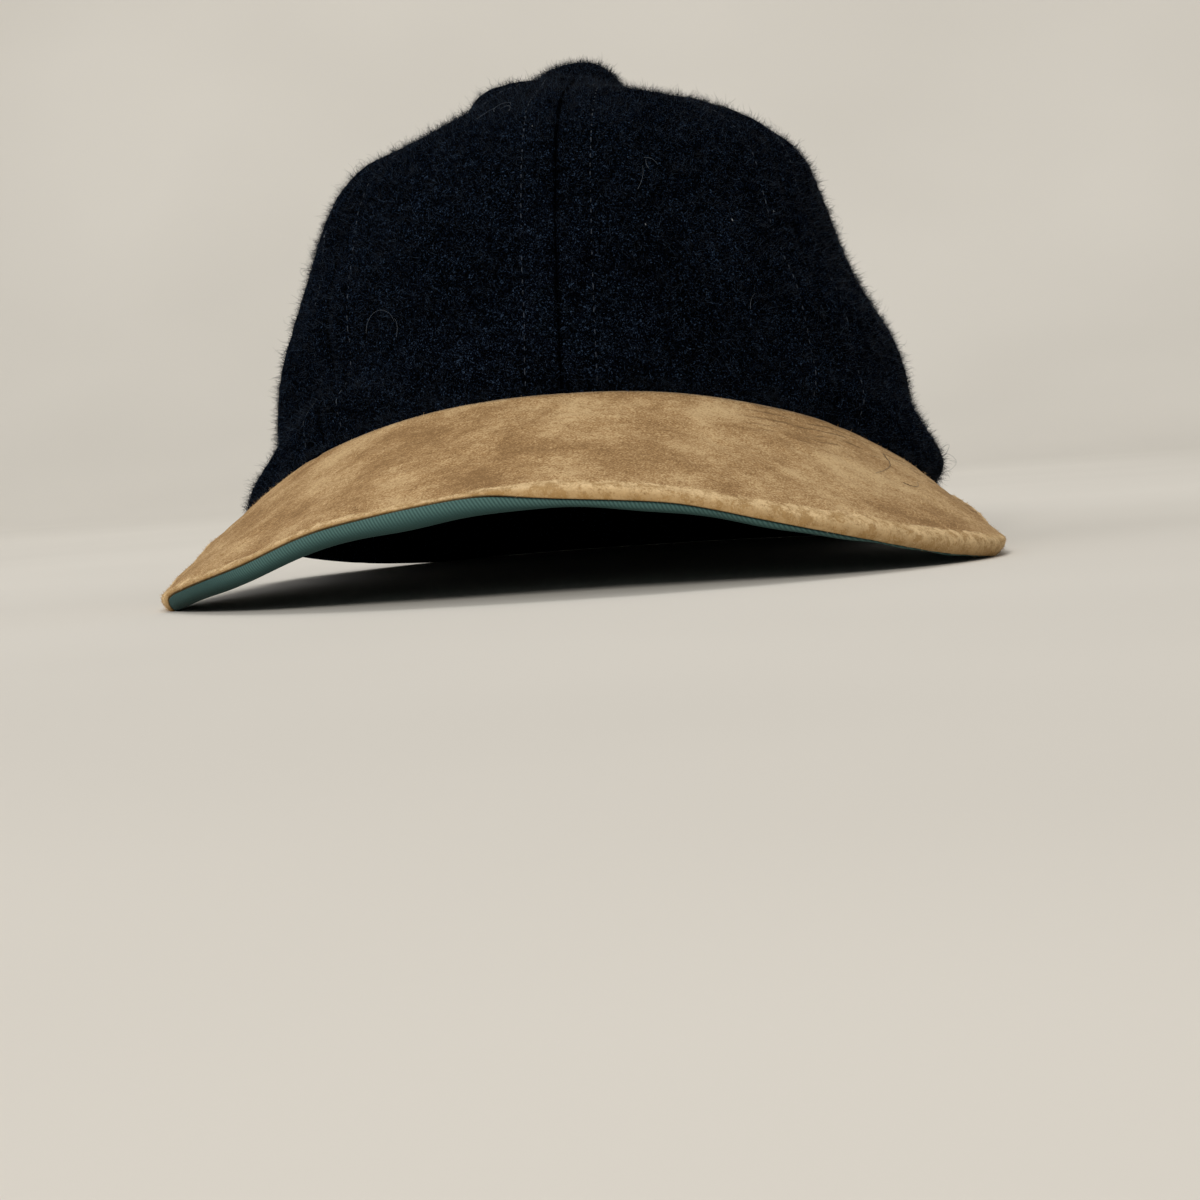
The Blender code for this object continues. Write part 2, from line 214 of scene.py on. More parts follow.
# Long hairs that stand off the wool: where each is rooted, which way it sets off (degrees from
# level, towards the wearer's left), its length, its turn along it and how far it lifts (mm).
STRAYS = Table(
    ("angle", "ring", "heading", "length", "turn", "lift"),
    (
        (-37.5, 0.262, 95, 13, -160, 0.5), (-23.5, 0.667, 35, 6, 90, 0.6),
        (-19, 0.69, 160, 8, -220, 0.8), (-13, 0.67, 80, 5, 130, 0.6),
        (14.5, 0.438, 50, 7, 30, 0.5), (17, 0.505, -10, 3.6, -60, 0.5),
        (17.5, 0.48, 130, 3, -90, 0.5), (32, 0.25, 88, 4.5, -60, 0.4),
        (-30, 0.24, 60, 5, 90, 0.5), (-86, 0.12, 170, 9, 40, 4), (-84, 0.1, 205, 8, -60, 3.6),
        (-82, 0.16, 140, 7, 90, 3.2), (-88, 0.2, 120, 6, -70, 3), (-74, 0.42, 110, 5, 70, 2.4),
        (-72, 0.6, 120, 5, -60, 2.2), (84, 0.1, 20, 7, 200, 3), (86, 0.13, -20, 6, -230, 2.8),
        (80, 0.12, 60, 5, 160, 2.6), (76, 0.55, 60, 4, -100, 2), (96, 0.46, 70, 5, -100, 2.2),
        (150, 0.4, 40, 9, 170, 1), (-155, 0.55, 130, 10, -150, 1.2),
    ),
)

# Pale specks of lint caught in the nap: where each lies and its length in millimetres.
LINT = Table(
    ("angle", "ring", "length"),
    (
        (-62, 0.463, 0.8), (11, 0.853, 0.4), (33.5, 0.393, 0.6), (45.5, 0.425, 0.3),
        (15, 0.372, 0.4), (-5, 0.595, 0.3), (128, 0.44, 0.5), (-140, 0.6, 0.5),
    ),
)

# Dark hairs that lie on the suede: where each starts and ends (station and share of the way out),
# and how far its middle bows aside and sags out.
SUEDE_HAIRS = Table(
    ("station", "share", "to_station", "to_share", "bow", "sag"),
    (
        (0.64, 0.2, 0.54, 0.51, 0.024, 0), (0.6, 0.53, 0.652, 0.47, 0, 0.05),
    ),
)


def linear(code: str) -> Colour:
    """Turns an sRGB hex value into a linear colour, each channel by the sRGB curve.

    Args:
        code: The colour as "#rrggbb".

    Returns:
        Red, green, blue and an alpha of 1.
    """
    channels = [int(code[i : i + 2], 16) / 255 for i in (1, 3, 5)]
    low = [c / 12.92 if c <= 0.04045 else ((c + 0.055) / 1.055) ** 2.4 for c in channels]
    return (*low, 1.0)


def per_metre(millimetres: float) -> float:
    """Returns the noise scale that gives features of a size in millimetres."""
    return 1 / (millimetres * MM)


def unit(vectors: Array) -> Array:
    """Returns vectors brought to a length of 1, along the last axis."""
    return vectors / np.maximum(np.linalg.norm(vectors, axis=-1, keepdims=True), 1e-12)


def smooth(values: Array | float, low: float, high: float) -> Array:
    """Returns a step from 0 at low to 1 at high, level at both ends."""
    share = np.clip((np.asarray(values, float) - low) / (high - low), 0, 1)
    return share * share * (3 - 2 * share)


def in_degrees(angle: Array | float) -> Array:
    """Returns an angle in radians as degrees between -180 and 180."""
    return (np.degrees(angle) + 180) % 360 - 180


@dataclass(frozen=True)
class Ripple:
    """A seeded sum of plane waves, which gives cloth its uneven surface."""

    shortest: float
    longest: float
    waves: int = 28
    seed: int = 1

    def at(self, points: Array) -> Array:
        """Sum of sines along random directions, scaled to run from about -1 to 1.

        Args:
            points: Places in metres, on the last axis.

        Returns:
            One value for each place.
        """
        rng = np.random.default_rng(self.seed)
        lengths = self.shortest * (self.longest / self.shortest) ** rng.random(self.waves)
        ways = unit(rng.normal(size=(self.waves, 3))) * (2 * math.pi / lengths)[:, None]
        phases = rng.random(self.waves) * 2 * math.pi
        total = np.zeros(points.shape[:-1])
        for way, phase in zip(ways, phases):
            total += np.sin(points @ way + phase)
        return total / math.sqrt(self.waves)


# --- Meshes ---


@dataclass
class Surface:
    """Points and faces of one closed body, or of many."""

    points: Array
    faces: list[Array]

    def volume(self) -> float:
        """Signed volume by the tetrahedra from the middle to each face's fan of triangles.

        Returns:
            Cubic metres, above 0 where the faces point outwards.
        """
        middle = self.points.mean(axis=0)
        total = 0.0
        for faces in self.faces:
            first = self.points[faces[:, 0]] - middle
            for k in range(1, faces.shape[1] - 1):
                second = self.points[faces[:, k]] - middle
                third = self.points[faces[:, k + 1]] - middle
                total += float(np.einsum("ij,ij->", first, np.cross(second, third)))
        return total / 6

    def facing_out(self) -> "Surface":
        """Returns the same surface with its faces turned outwards."""
        faces = [f[:, ::-1] for f in self.faces] if self.volume() < 0 else self.faces
        return Surface(self.points, faces)

    def to_piece(self, name: str, values: dict[str, Array] | None = None) -> Piece:
        """Makes the surface an object at the origin.

        Args:
            name: The piece's name.
            values: Point attributes by name: one number or three for each point.

        Returns:
            The object, linked into the scene.
        """
        surface = self.facing_out()
        mesh = bpy.data.meshes.new(name)
        mesh.vertices.add(len(surface.points))
        mesh.vertices.foreach_set("co", surface.points.astype(np.float32).ravel())
        corners = np.concatenate([faces.ravel() for faces in surface.faces])
        sizes = np.concatenate([np.full(len(f), f.shape[1]) for f in surface.faces])
        mesh.loops.add(len(corners))
        mesh.loops.foreach_set("vertex_index", corners.astype(np.int32))
        mesh.polygons.add(len(sizes))
        starts = np.concatenate([[0], np.cumsum(sizes)[:-1]])
        mesh.polygons.foreach_set("loop_start", starts.astype(np.int32))
        mesh.update(calc_edges=True)
        for key, value in (values or {}).items():
            kind, field = ("FLOAT", "value") if value.ndim == 1 else ("FLOAT_VECTOR", "vector")
            mesh.attributes.new(key, kind, "POINT").data.foreach_set(
                field, value.astype(np.float32).ravel()
            )
        if sizes.max() > 4:
            shape = bmesh.new()
            shape.from_mesh(mesh)
            bmesh.ops.triangulate(shape, faces=[f for f in shape.faces if len(f.verts) > 4])
            shape.to_mesh(mesh)
            shape.free()
        mesh.shade_smooth()
        mesh.set_sharp_from_angle(angle=SHARP_EDGE)
        piece = bpy.data.objects.new(name, mesh)
        bpy.context.scene.collection.objects.link(piece)
        return piece


def loft(sections: Array) -> Surface:
    """Joins a row of closed sections by quads and closes both ends with one face each."""
    faces = prism(*sections.shape[:2], (False, False))
    return Surface(sections.reshape(-1, 3), faces)


def repeated(shapes: Array, faces: list[Array]) -> Surface:
    """Many bodies with the same faces as one surface.

    Args:
        shapes: Points by body, place in the body and axis.
        faces: Faces of one body.

    Returns:
        The surface that holds every body.
    """
    each = shapes.shape[1]
    starts = (np.arange(len(shapes)) * each)[:, None, None]
    return Surface(
        shapes.reshape(-1, 3), [(f[None] + starts).reshape(-1, f.shape[1]) for f in faces]
    )


def prism(rings: int, sides: int, tips: tuple[bool, bool]) -> list[Array]:
    """Faces of a body of rings along a line, each end closed by a tip or by a face.

    Args:
        rings: Number of rings.
        sides: Points in a ring.
        tips: Whether the start and the end are points of their own, after the rings' points.

    Returns:
        Quads between the rings, triangles at the tips and a face at each other end.
    """
    index = np.arange(rings * sides).reshape(rings, sides)
    after = np.roll(index, -1, axis=1)
    faces = [np.stack([index[:-1], after[:-1], after[1:], index[1:]], axis=-1).reshape(-1, 4)]
    spare = rings * sides
    for is_tip, ring, follow, turned in (
        (tips[0], index[0], after[0], True),
        (tips[1], index[-1], after[-1], False),
    ):
        if is_tip:
            fan = np.stack([ring, follow, np.full(sides, spare)], axis=-1)
            faces.append(fan[:, ::-1] if turned else fan)
            spare += 1
        else:
            faces.append((ring[::-1] if turned else ring)[None])
    return [f for f in faces if len(f)]


def beside(direction: Array) -> tuple[Array, Array]:
    """Two unit vectors square to each direction and to each other, by cross products.

    Args:
        direction: Unit vectors.

    Returns:
        The two vectors for each.
    """
    helper = np.where(np.abs(direction[..., 2:3]) < 0.9, [0.0, 0.0, 1.0], [1.0, 0.0, 0.0])
    first = unit(np.cross(direction, helper))
    return first, np.cross(direction, first)


def run_along(line: Array) -> Array:
    """Returns the length along lines of points up to each of them, a sum of straight steps."""
    steps = np.linalg.norm(np.diff(line, axis=-2), axis=-1)
    return np.concatenate([np.zeros_like(steps[..., :1]), np.cumsum(steps, axis=-1)], axis=-1)


def cell_areas(face: Array) -> Array:
    """Returns the area of each cell of a grid of points, half its diagonals' cross product."""
    spans = np.cross(face[1:, 1:] - face[:-1, :-1], face[1:, :-1] - face[:-1, 1:])
    return np.linalg.norm(spans, axis=-1) / 2


def in_cells(grid: Array, column: Array, row: Array, u: Array, v: Array) -> Array:
    """Reads a grid inside its cells, by the four corners' values.

    Args:
        grid: Values by column and row.
        column: The cell's first column.
        row: The cell's first row.
        u: Share of the way to the next column.
        v: Share of the way to the next row.

    Returns:
        The values.
    """
    low = grid[column, row] * (1 - u) + grid[column + 1, row] * u
    high = grid[column, row + 1] * (1 - u) + grid[column + 1, row + 1] * u
    return low * (1 - v) + high * v


def tube(path: Array, radii: Array) -> Surface:
    """A closed tube along a path, a circle square to it at each point, with a tip at each end.

    Args:
        path: Points along the middle.
        radii: The radius at each of them.

    Returns:
        The tube.
    """
    along = unit(np.gradient(path, axis=0))
    first, second = beside(along)
    turn = np.linspace(0, 2 * math.pi, TUBE_SIDES, endpoint=False)[None, :, None]
    ring = np.cos(turn) * first[:, None] + np.sin(turn) * second[:, None]
    points = (path[:, None] + radii[:, None, None] * ring).reshape(-1, 3)
    tips = np.stack([path[0] - radii[0] * along[0], path[-1] + radii[-1] * along[-1]])
    return Surface(np.concatenate([points, tips]), prism(len(path), TUBE_SIDES, (True, True)))


def together(surfaces: Sequence[Surface]) -> Surface:
    """Joins several surfaces.

    Args:
        surfaces: Closed bodies.

    Returns:
        All of them as one, each facing outwards.
    """
    points, faces, start = [], [], 0
    for surface in (s.facing_out() for s in surfaces):
        points.append(surface.points)
        faces.extend(f + start for f in surface.faces)
        start += len(surface.points)
    return Surface(np.concatenate(points), faces)


# --- Finishes ---


@dataclass
class Graph:
    """A material's nodes, with the outputs that later nodes read kept under plain names."""

    tree: bpy.types.NodeTree
    got: dict[str, Socket] = field(default_factory=dict)

    def add(
        self,
        name: str,
        kind: str,
        inputs: dict[str | int, object] | None = None,
        output: str | int = 0,
        stops: Sequence[tuple[float, str]] = (),
        **settings: object,
    ) -> None:
        """Adds a node with its settings, links, socket values and ramp colours.

        Args:
            name: What its output is kept as, also in place of an earlier one. Empty for none.
            kind: The node's type, after the words that every shader node's type starts with.
            inputs: A kept output's name, or a value, for each input by name or number.
            output: The output that is kept, by name or number.
            stops: Place and colour of each stop, on a colour ramp.
            **settings: The node's own properties.
        """
        node = self.tree.nodes.new(f"ShaderNode{kind}")
        for key, value in settings.items():
            setattr(node, key, value)
        for key, value in (inputs or {}).items():
            if isinstance(value, str):
                self.tree.links.new(self.got[value], node.inputs[key])
            else:
                node.inputs[key].default_value = value
        for number, (place, code) in enumerate(stops):
            ramp = node.color_ramp.elements
            stop = ramp[number] if number < 2 else ramp.new(place)
            stop.position, stop.color = place, linear(code)
        if name:
            self.got[name] = node.outputs[output]


@dataclass(frozen=True)
class Finish:
    """A material by what the real one is; each kind says how its colour and relief are made."""

    name: str
    roughness: float = 0.9
    sheen: float = 0.0
    sheen_roughness: float = 0.5
    sheen_tint: str = "#ffffff"
    specular: float = 0.3
    depth_mm: float = 0.0

    def pattern(self, graph: Graph) -> None:
        """Adds the finish's own nodes and keeps its colour and, where it has relief, its height."""
        raise NotImplementedError

    def make(self) -> Material:
        """Makes the material: a Principled shader under the finish's colour and bump.

        Returns:
            The material.
        """
        material = bpy.data.materials.new(self.name)
        material.use_nodes = True
        material.node_tree.nodes.clear()
        graph = Graph(material.node_tree)
        self.pattern(graph)
        inputs: dict[str | int, object] = {
            "Base Color": "colour",
            "Roughness": self.roughness,
            "Specular IOR Level": self.specular,
            "Sheen Weight": self.sheen,
            "Sheen Roughness": self.sheen_roughness,
            "Sheen Tint": linear(self.sheen_tint),
        }
        if "height" in graph.got:
            relief = {"Strength": 1.0, "Distance": self.depth_mm * MM, "Height": "height"}
            graph.add("bump", "Bump", relief)
            inputs["Normal"] = "bump"
        graph.add("shader", "BsdfPrincipled", inputs)
        graph.add("", "OutputMaterial", {"Surface": "shader"})
        return material


@dataclass(frozen=True)
class Melton(Finish):
    """Melton: woollen cloth, fulled and raised until its weave is hidden under felted fibres.

    It gives a matt, near-black navy that breaks up into fine, curly bluish-grey fibres, in clumps
    that are a little lighter here and there; the brightest specks are painted glints.
    Real fibres are 0.03 mm thick; they are drawn at about 0.3 mm, the finest that shows.
    """

    hollow: str = "#010101"
    ground: str = "#020305"
    fibre: str = "#090f1a"
    # The brightest colour is a painted glint: light caught on the fibres, set into the colour.
    painted_glint: str = "#36465b"
    speck_mm: float = 0.38
    curl_mm: float = 1.3
    clump_mm: float = 2.4
    cloud_mm: float = 16.0

    def pattern(self, graph: Graph) -> None:
        """Specks, the level lines of a wrung noise, which curl as fibres do, and painted seam
        shade.

        Args:
            graph: The material's nodes.
        """
        graph.add("place", "TexCoord", output="Object")
        graph.add("groove", "Attribute", output="Fac", attribute_name="groove")
        for name, size, detail, wrung in (
            ("speck", self.speck_mm, 2.0, 0.8),
            ("curl", self.curl_mm, 1.0, 1.6),
            ("gaps", self.curl_mm * 0.7, 0.0, 0.0),
            ("clump", self.clump_mm, 2.0, 0.0),
            ("cloud", self.cloud_mm, 2.0, 0.0),
        ):
            noise = {"Vector": "place", "Scale": per_metre(size), "Detail": detail}
            graph.add(name, "TexNoise", noise | {"Roughness": 0.6, "Distortion": wrung})
        graph.add("level", "Math", {0: "curl", 1: 0.5, 2: 0.02}, operation="COMPARE")
        graph.add("shown", "MapRange", {"Value": "gaps", "From Min": 0.46, "From Max": 0.60})
        graph.add("line", "Math", {0: "level", 1: "shown"}, operation="MULTIPLY")
        # The groove term darkens the colour as painted shade down each seam.
        parts = {"speck": 1.0, "line": 0.13, "clump": 0.18, "cloud": 0.10, "groove": -0.07}
        total: str | float = 0.0
        for part, weight in parts.items():
            graph.add("height", "Math", {0: part, 1: weight, 2: total}, operation="MULTIPLY_ADD")
            total = "height"
        # The ramp's top stop paints glints on the brightest fibres.
        stops = ((0.53, self.hollow), (0.65, self.ground), (0.76, self.fibre), (0.91, self.painted_glint))
        graph.add("colour", "ValToRGB", {"Fac": "height"}, stops=stops)


@dataclass(frozen=True)
class LooseFibre(Finish):
    """Loose wool fibres and hairs: dyed keratin, smooth enough to catch a thin light."""

    shade: str = "#05070b"
    bright: str = "#2d3a4b"

    def pattern(self, graph: Graph) -> None:
        """Each fibre has its own tone, from dyed dark to sun-bleached."""
        graph.add("tone", "Attribute", output="Fac", attribute_name="tone")
        graph.add("colour", "ValToRGB", {"Fac": "tone"}, stops=((0, self.shade), (1, self.bright)))


@dataclass(frozen=True)
class Suede(Finish):
    """Suede: the flesh side of a hide, buffed to a short nap. Matt tan with brushed, cloudy marks.

    The nap lies this way and that, so it is mottled darker and lighter. The upper side of the
    peak's edge is paler, partly rubbed where it is handled and partly a painted highlight where
    it faces the light; round the edge it turns browner and darker down to its seam, along which
    runs a thin painted shade. Fine creases, darkened with painted shade, run beside the crown on
    the wearer's left.
    """

    dark: str = "#80623f"
    middle: str = "#a28158"
    light: str = "#c6aa80"
    # Browner colour round the edge towards its seam.
    seamward_brown: str = "#93703f"
    # Tones of the paler upper side of the edge: rubbed wear under a painted highlight.
    rubbed_highlight_low: str = "#a98a5e"
    rubbed_highlight_high: str = "#dcc094"
    verge: str = "#93816a"
    # Painted shade, for the creases and for the seam with the twill.
    shaded_crease: str = "#46341f"
    mottle_mm: float = 24.0
    blotch_mm: float = 2.4
    fleck_mm: float = 0.45
    tuft_mm: float = 2.6
    wander_mm: float = 26.0
    # The nap's marks are longer down the peak than across it.
    drawn_out: Point = (1.1, 0.8, 0.0)
    crease_mm: float = 4.2

    def pattern(self, graph: Graph) -> None:
        """Clouds, blotches and flecks, shaded creases by the crown, the rub and the browner band.

        Args:
            graph: The material's nodes.
        """
        for name in ("verge", "fold", "station"):
            graph.add(name, "Attribute", output="Fac", attribute_name=name)
        graph.add("hide", "Attribute", output="Vector", attribute_name="hide")
        graph.add("round_nose", "SeparateXYZ", {0: "hide"}, output=2)
        graph.add("flat", "VectorMath", {0: "hide", 1: self.drawn_out}, operation="MULTIPLY")
        graph.add("place", "TexCoord", output="Object")
        for name, where, size, detail in (
            ("mottle", "flat", self.mottle_mm, 3.0),
            ("blotch", "place", self.blotch_mm, 3.0),
            ("fleck", "place", self.fleck_mm, 2.0),
            ("tuft", "place", self.tuft_mm, 1.5),
            ("wander", "place", self.wander_mm, 1.0),
            ("gaps", "place", self.wander_mm * 0.4, 1.0),
        ):
            noise = {"Vector": where, "Scale": per_metre(size), "Detail": detail}
            graph.add(name, "TexNoise", noise | {"Roughness": 0.62, "Distortion": 0.3})
        sums: tuple[tuple[str, float | str, dict[str, float]], ...] = (
            ("tone", -0.275, {"mottle": 0.66, "blotch": 0.26, "fleck": 0.74}),
            ("rubbed_highlight_tone", -0.04, {"tuft": 0.64, "fleck": 0.44}),
            ("edge", -0.80, {"round_nose": 1.0, "tuft": 0.9, "fleck": 0.7}),
            ("seamward", -0.45, {"round_nose": 1.0, "tuft": 0.5, "fleck": 0.4}),
            ("phase", 0.0, {"verge": math.pi / (self.crease_mm * MM), "wander": 9.0}),
        )
        for name, total, parts in sums:
            for part, weight in parts.items():
                graph.add(name, "Math", {0: part, 1: weight, 2: total}, operation="MULTIPLY_ADD")
                total = name
        for operation in ("SINE", "ABSOLUTE"):
            graph.add("phase", "Math", {0: "phase"}, operation=operation)
        for name, source, low, high, most in (
            # Crease lines: their colour is painted shade and their relief is the bump.
            ("shaded_crease", "phase", 0.50, 0.10, 1.0),
            # The paler upper side of the edge: rubbed wear and a painted highlight where it faces
            # the light.
            ("rubbed_with_highlight", "edge", 0.25, 0.75, 0.9),
            # Browner and darker round the edge towards its seam.
            ("seamward_brown", "seamward", 1.30, 1.85, 0.60),
            # A thin painted shade along the seam with the twill.
            ("seam_shade", "fold", 0.0005, 0.0001, 0.7),
            ("side", "station", 0.28, 0.42, 1.0),
            ("near", "verge", 0.032, 0.018, 0.55),
            ("broken", "gaps", 0.42, 0.56, 1.0),
            ("bound", "verge", 0.0014, 0.0004, 0.55),
        ):
            step = {"Value": source, "From Min": low, "From Max": high, "To Max": most}
            graph.add(name, "MapRange", step, interpolation_type="SMOOTHSTEP")
        for name in ("side", "near", "broken"):
            graph.add("shaded_crease", "Math", {0: "shaded_crease", 1: name}, operation="MULTIPLY")
        brushed = ((0.42, self.dark), (0.55, self.middle), (0.69, self.light))
        graph.add("colour", "ValToRGB", {"Fac": "tone"}, stops=brushed)
        # The pale band's tones, worn and painted with a highlight.
        worn_highlight = ((0.42, self.rubbed_highlight_low), (0.50, self.light), (0.60, self.rubbed_highlight_high))
        graph.add("pale", "ValToRGB", {"Fac": "rubbed_highlight_tone"}, stops=worn_highlight)
        for name, over in (
            ("shaded_crease", linear(self.shaded_crease)),
            ("rubbed_with_highlight", "pale"),
            ("seamward_brown", linear(self.seamward_brown)),
            ("seam_shade", linear(self.shaded_crease)),
            ("bound", linear(self.verge)),
        ):
            graph.add("colour", "Mix", {0: name, 6: "colour", 7: over}, 2, data_type="RGBA")
        total = 0.0
        for part, weight in {"fleck": 1.0, "blotch": 0.6, "shaded_crease": -1.5}.items():
            graph.add("height", "Math", {0: part, 1: weight, 2: total}, operation="MULTIPLY_ADD")
            total = "height"


@dataclass(frozen=True)
class Twill(Finish):
    """Bull-denim twill: piece-dyed cotton with slanting ridges, green with worn, paler crests.

    The upper side of the edge is painted lighter, as if lit, and only there do the ridges show;
    below it is painted shade, and towards the peak's end on the wearer's right the green is dark
    and only mottled.
    """

    groove: str = "#223531"
    ridge: str = "#344e4c"
    crest: str = "#53736f"
    pitch_mm: float = 0.70
    slant_degrees: float = 28.0
    slub_mm: float = 0.9

    def pattern(self, graph: Graph) -> None:
        """A sine across the ridges, broken up by the yarn's unevenness, and painted shade at the
        seam.

        Args:
            graph: The material's nodes.
        """
        for name in ("fold", "station"):
            graph.add(name, "Attribute", output="Fac", attribute_name=name)
        graph.add("hide", "Attribute", output="Vector", attribute_name="hide")
        graph.add("round_nose", "SeparateXYZ", {0: "hide"}, output=2)
        # The first step paints the upper side of the edge lighter as light and its underside darker
        # as shade.
        for name, source, low, high in (
            ("lit_upper", "round_nose", 1.35, 1.80),
            ("inner", "station", -0.56, -0.40),
            # Painted shade along the seam with the suede, within a fraction of a millimetre of it.
            ("clear", "fold", 0.0001, 0.0007),
        ):
            step = {"Value": source, "From Min": low, "From Max": high}
            graph.add(name, "MapRange", step, interpolation_type="SMOOTHSTEP")
        slant = math.radians(self.slant_degrees)
        across = (math.cos(slant), -math.sin(slant), 0.0)
        graph.add("run", "VectorMath", {0: "hide", 1: across}, "Value", operation="DOT_PRODUCT")
        noise = {"Vector": "hide", "Scale": per_metre(self.slub_mm), "Detail": 3.0}
        graph.add("slub", "TexNoise", noise | {"Roughness": 0.7})
        turns = {0: "run", 1: 2 * math.pi / (self.pitch_mm * MM), 2: "slub"}
        graph.add("phase", "Math", turns, operation="MULTIPLY_ADD")
        graph.add("ridge", "Math", {0: "phase"}, operation="SINE")
        # The ridges fade out into the edge's painted shade and towards the peak's end.
        for name in ("lit_upper", "inner"):
            graph.add("ridge", "Math", {0: "ridge", 1: name}, operation="MULTIPLY")
        parts = {"slub": 0.68, "ridge": 0.15, "lit_upper": 0.27, "inner": 0.20, "clear": 0.32}
        total: str | float = -0.47
        for part, weight in parts.items():
            graph.add("height", "Math", {0: part, 1: weight, 2: total}, operation="MULTIPLY_ADD")
            total = "height"
        stops = ((0.18, self.groove), (0.48, self.ridge), (0.85, self.crest))
        graph.add("colour", "ValToRGB", {"Fac": "height"}, stops=stops)


@dataclass(frozen=True)
class TwoTone(Finish):
    """A plain material whose tone wanders between two that are close."""

    low: str = "#000000"
    high: str = "#ffffff"
    low_at: float = 0.3
    high_at: float = 0.7
    cloud_mm: float = 1.0

    def pattern(self, graph: Graph) -> None:
        """Two tones, shared out by noise.

        Args:
            graph: The material's nodes.
        """
        graph.add("place", "TexCoord", output="Object")
        graph.add("cloud", "TexNoise", {"Vector": "place", "Scale": per_metre(self.cloud_mm)})
        stops = ((self.low_at, self.low), (self.high_at, self.high))
        graph.add("colour", "ValToRGB", {"Fac": "cloud"}, stops=stops)


@dataclass(frozen=True)
class SewingThread(TwoTone):
    """Spun polyester, glossier than the wool and flecked where its plies turn to the light."""

    low: str = "#10151e"
    high: str = "#343d49"
    low_at: float = 0.40
    high_at: float = 0.62
    cloud_mm: float = 0.35


@dataclass(frozen=True)
class MattePaint(TwoTone):
    """Matt emulsion on board: a pale, even studio sweep with a barely uneven tone."""

    low: str = "#cfcbc4"
    high: str = "#d6d2cb"
    cloud_mm: float = 300.0


@dataclass
class Wardrobe:
    """Every finish of the cap, each made once."""

    wool: Material
    fibre: Material
    hair: Material
    lint: Material
    suede: Material
    suede_nap: Material
    twill: Material
    thread: Material
    sweep: Material

    @classmethod
    def make(cls) -> "Wardrobe":
        """Makes the finishes of this cap.

        Returns:
            The finishes.
        """
        finishes = {
            "wool": Melton("melton_wool", 1.0, 0.004, 0.6, "#7686a6", 0.0, depth_mm=0.20),
            "fibre": LooseFibre("loose_wool_fibre", roughness=0.7, specular=0.10),
            "hair": LooseFibre("stray_wool_hair", roughness=0.5, bright="#6b747f"),
            "lint": LooseFibre("pale_lint", roughness=0.8, shade="#6f747a", bright="#9a9fa4"),
            "suede": Suede("tan_suede_nap", 0.95, 0.06, 0.5, "#e8c79a", 0.1, depth_mm=0.16),
            "suede_nap": LooseFibre("suede_fuzz", specular=0.1, shade="#9a7a50", bright="#dcbf95"),
            "twill": Twill("green_cotton_twill", 0.9, 0.03, 0.5, "#a8c8c6", 0.1, depth_mm=0.10),
            "thread": SewingThread("grey_sewing_thread", roughness=0.6, specular=0.2),
            "sweep": MattePaint("pale_matt_sweep"),
        }
        return cls(**{use: finish.make() for use, finish in finishes.items()})


def dress(
    piece: Piece, material: Material, stands_for: Sequence[str] = ()
) -> None:
    """Gives a piece its finish and sets it on the cap.

    Args:
        piece: The new piece.
        material: Its finish.
        stands_for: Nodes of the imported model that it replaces.
    """
    piece.data.materials.append(material)
    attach(piece, BODY)
    if stands_for:
        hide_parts(*stands_for)
    triangles = sum(len(p.vertices) - 2 for p in piece.data.polygons)
    log.info("%s: %d triangles", piece.name, triangles)


def strew(
    surface: Surface,
    name: str,
    tone: Array | float,
    material: Material,
) -> None:
    """Makes loose fibres one piece, all of them just clear of what the cap stands on.

    Args:
        surface: The fibres.
        name: The piece's name.
        tone: How light they are from 0 to 1, for each point or for all.
        material: Their finish.
    """
    surface.points[:, 2] = np.maximum(surface.points[:, 2], FLOOR_CLEARANCE)
    tones = np.broadcast_to(tone, len(surface.points))
    dress(surface.to_piece(name, {"tone": tones}), material)


# --- Crown ---


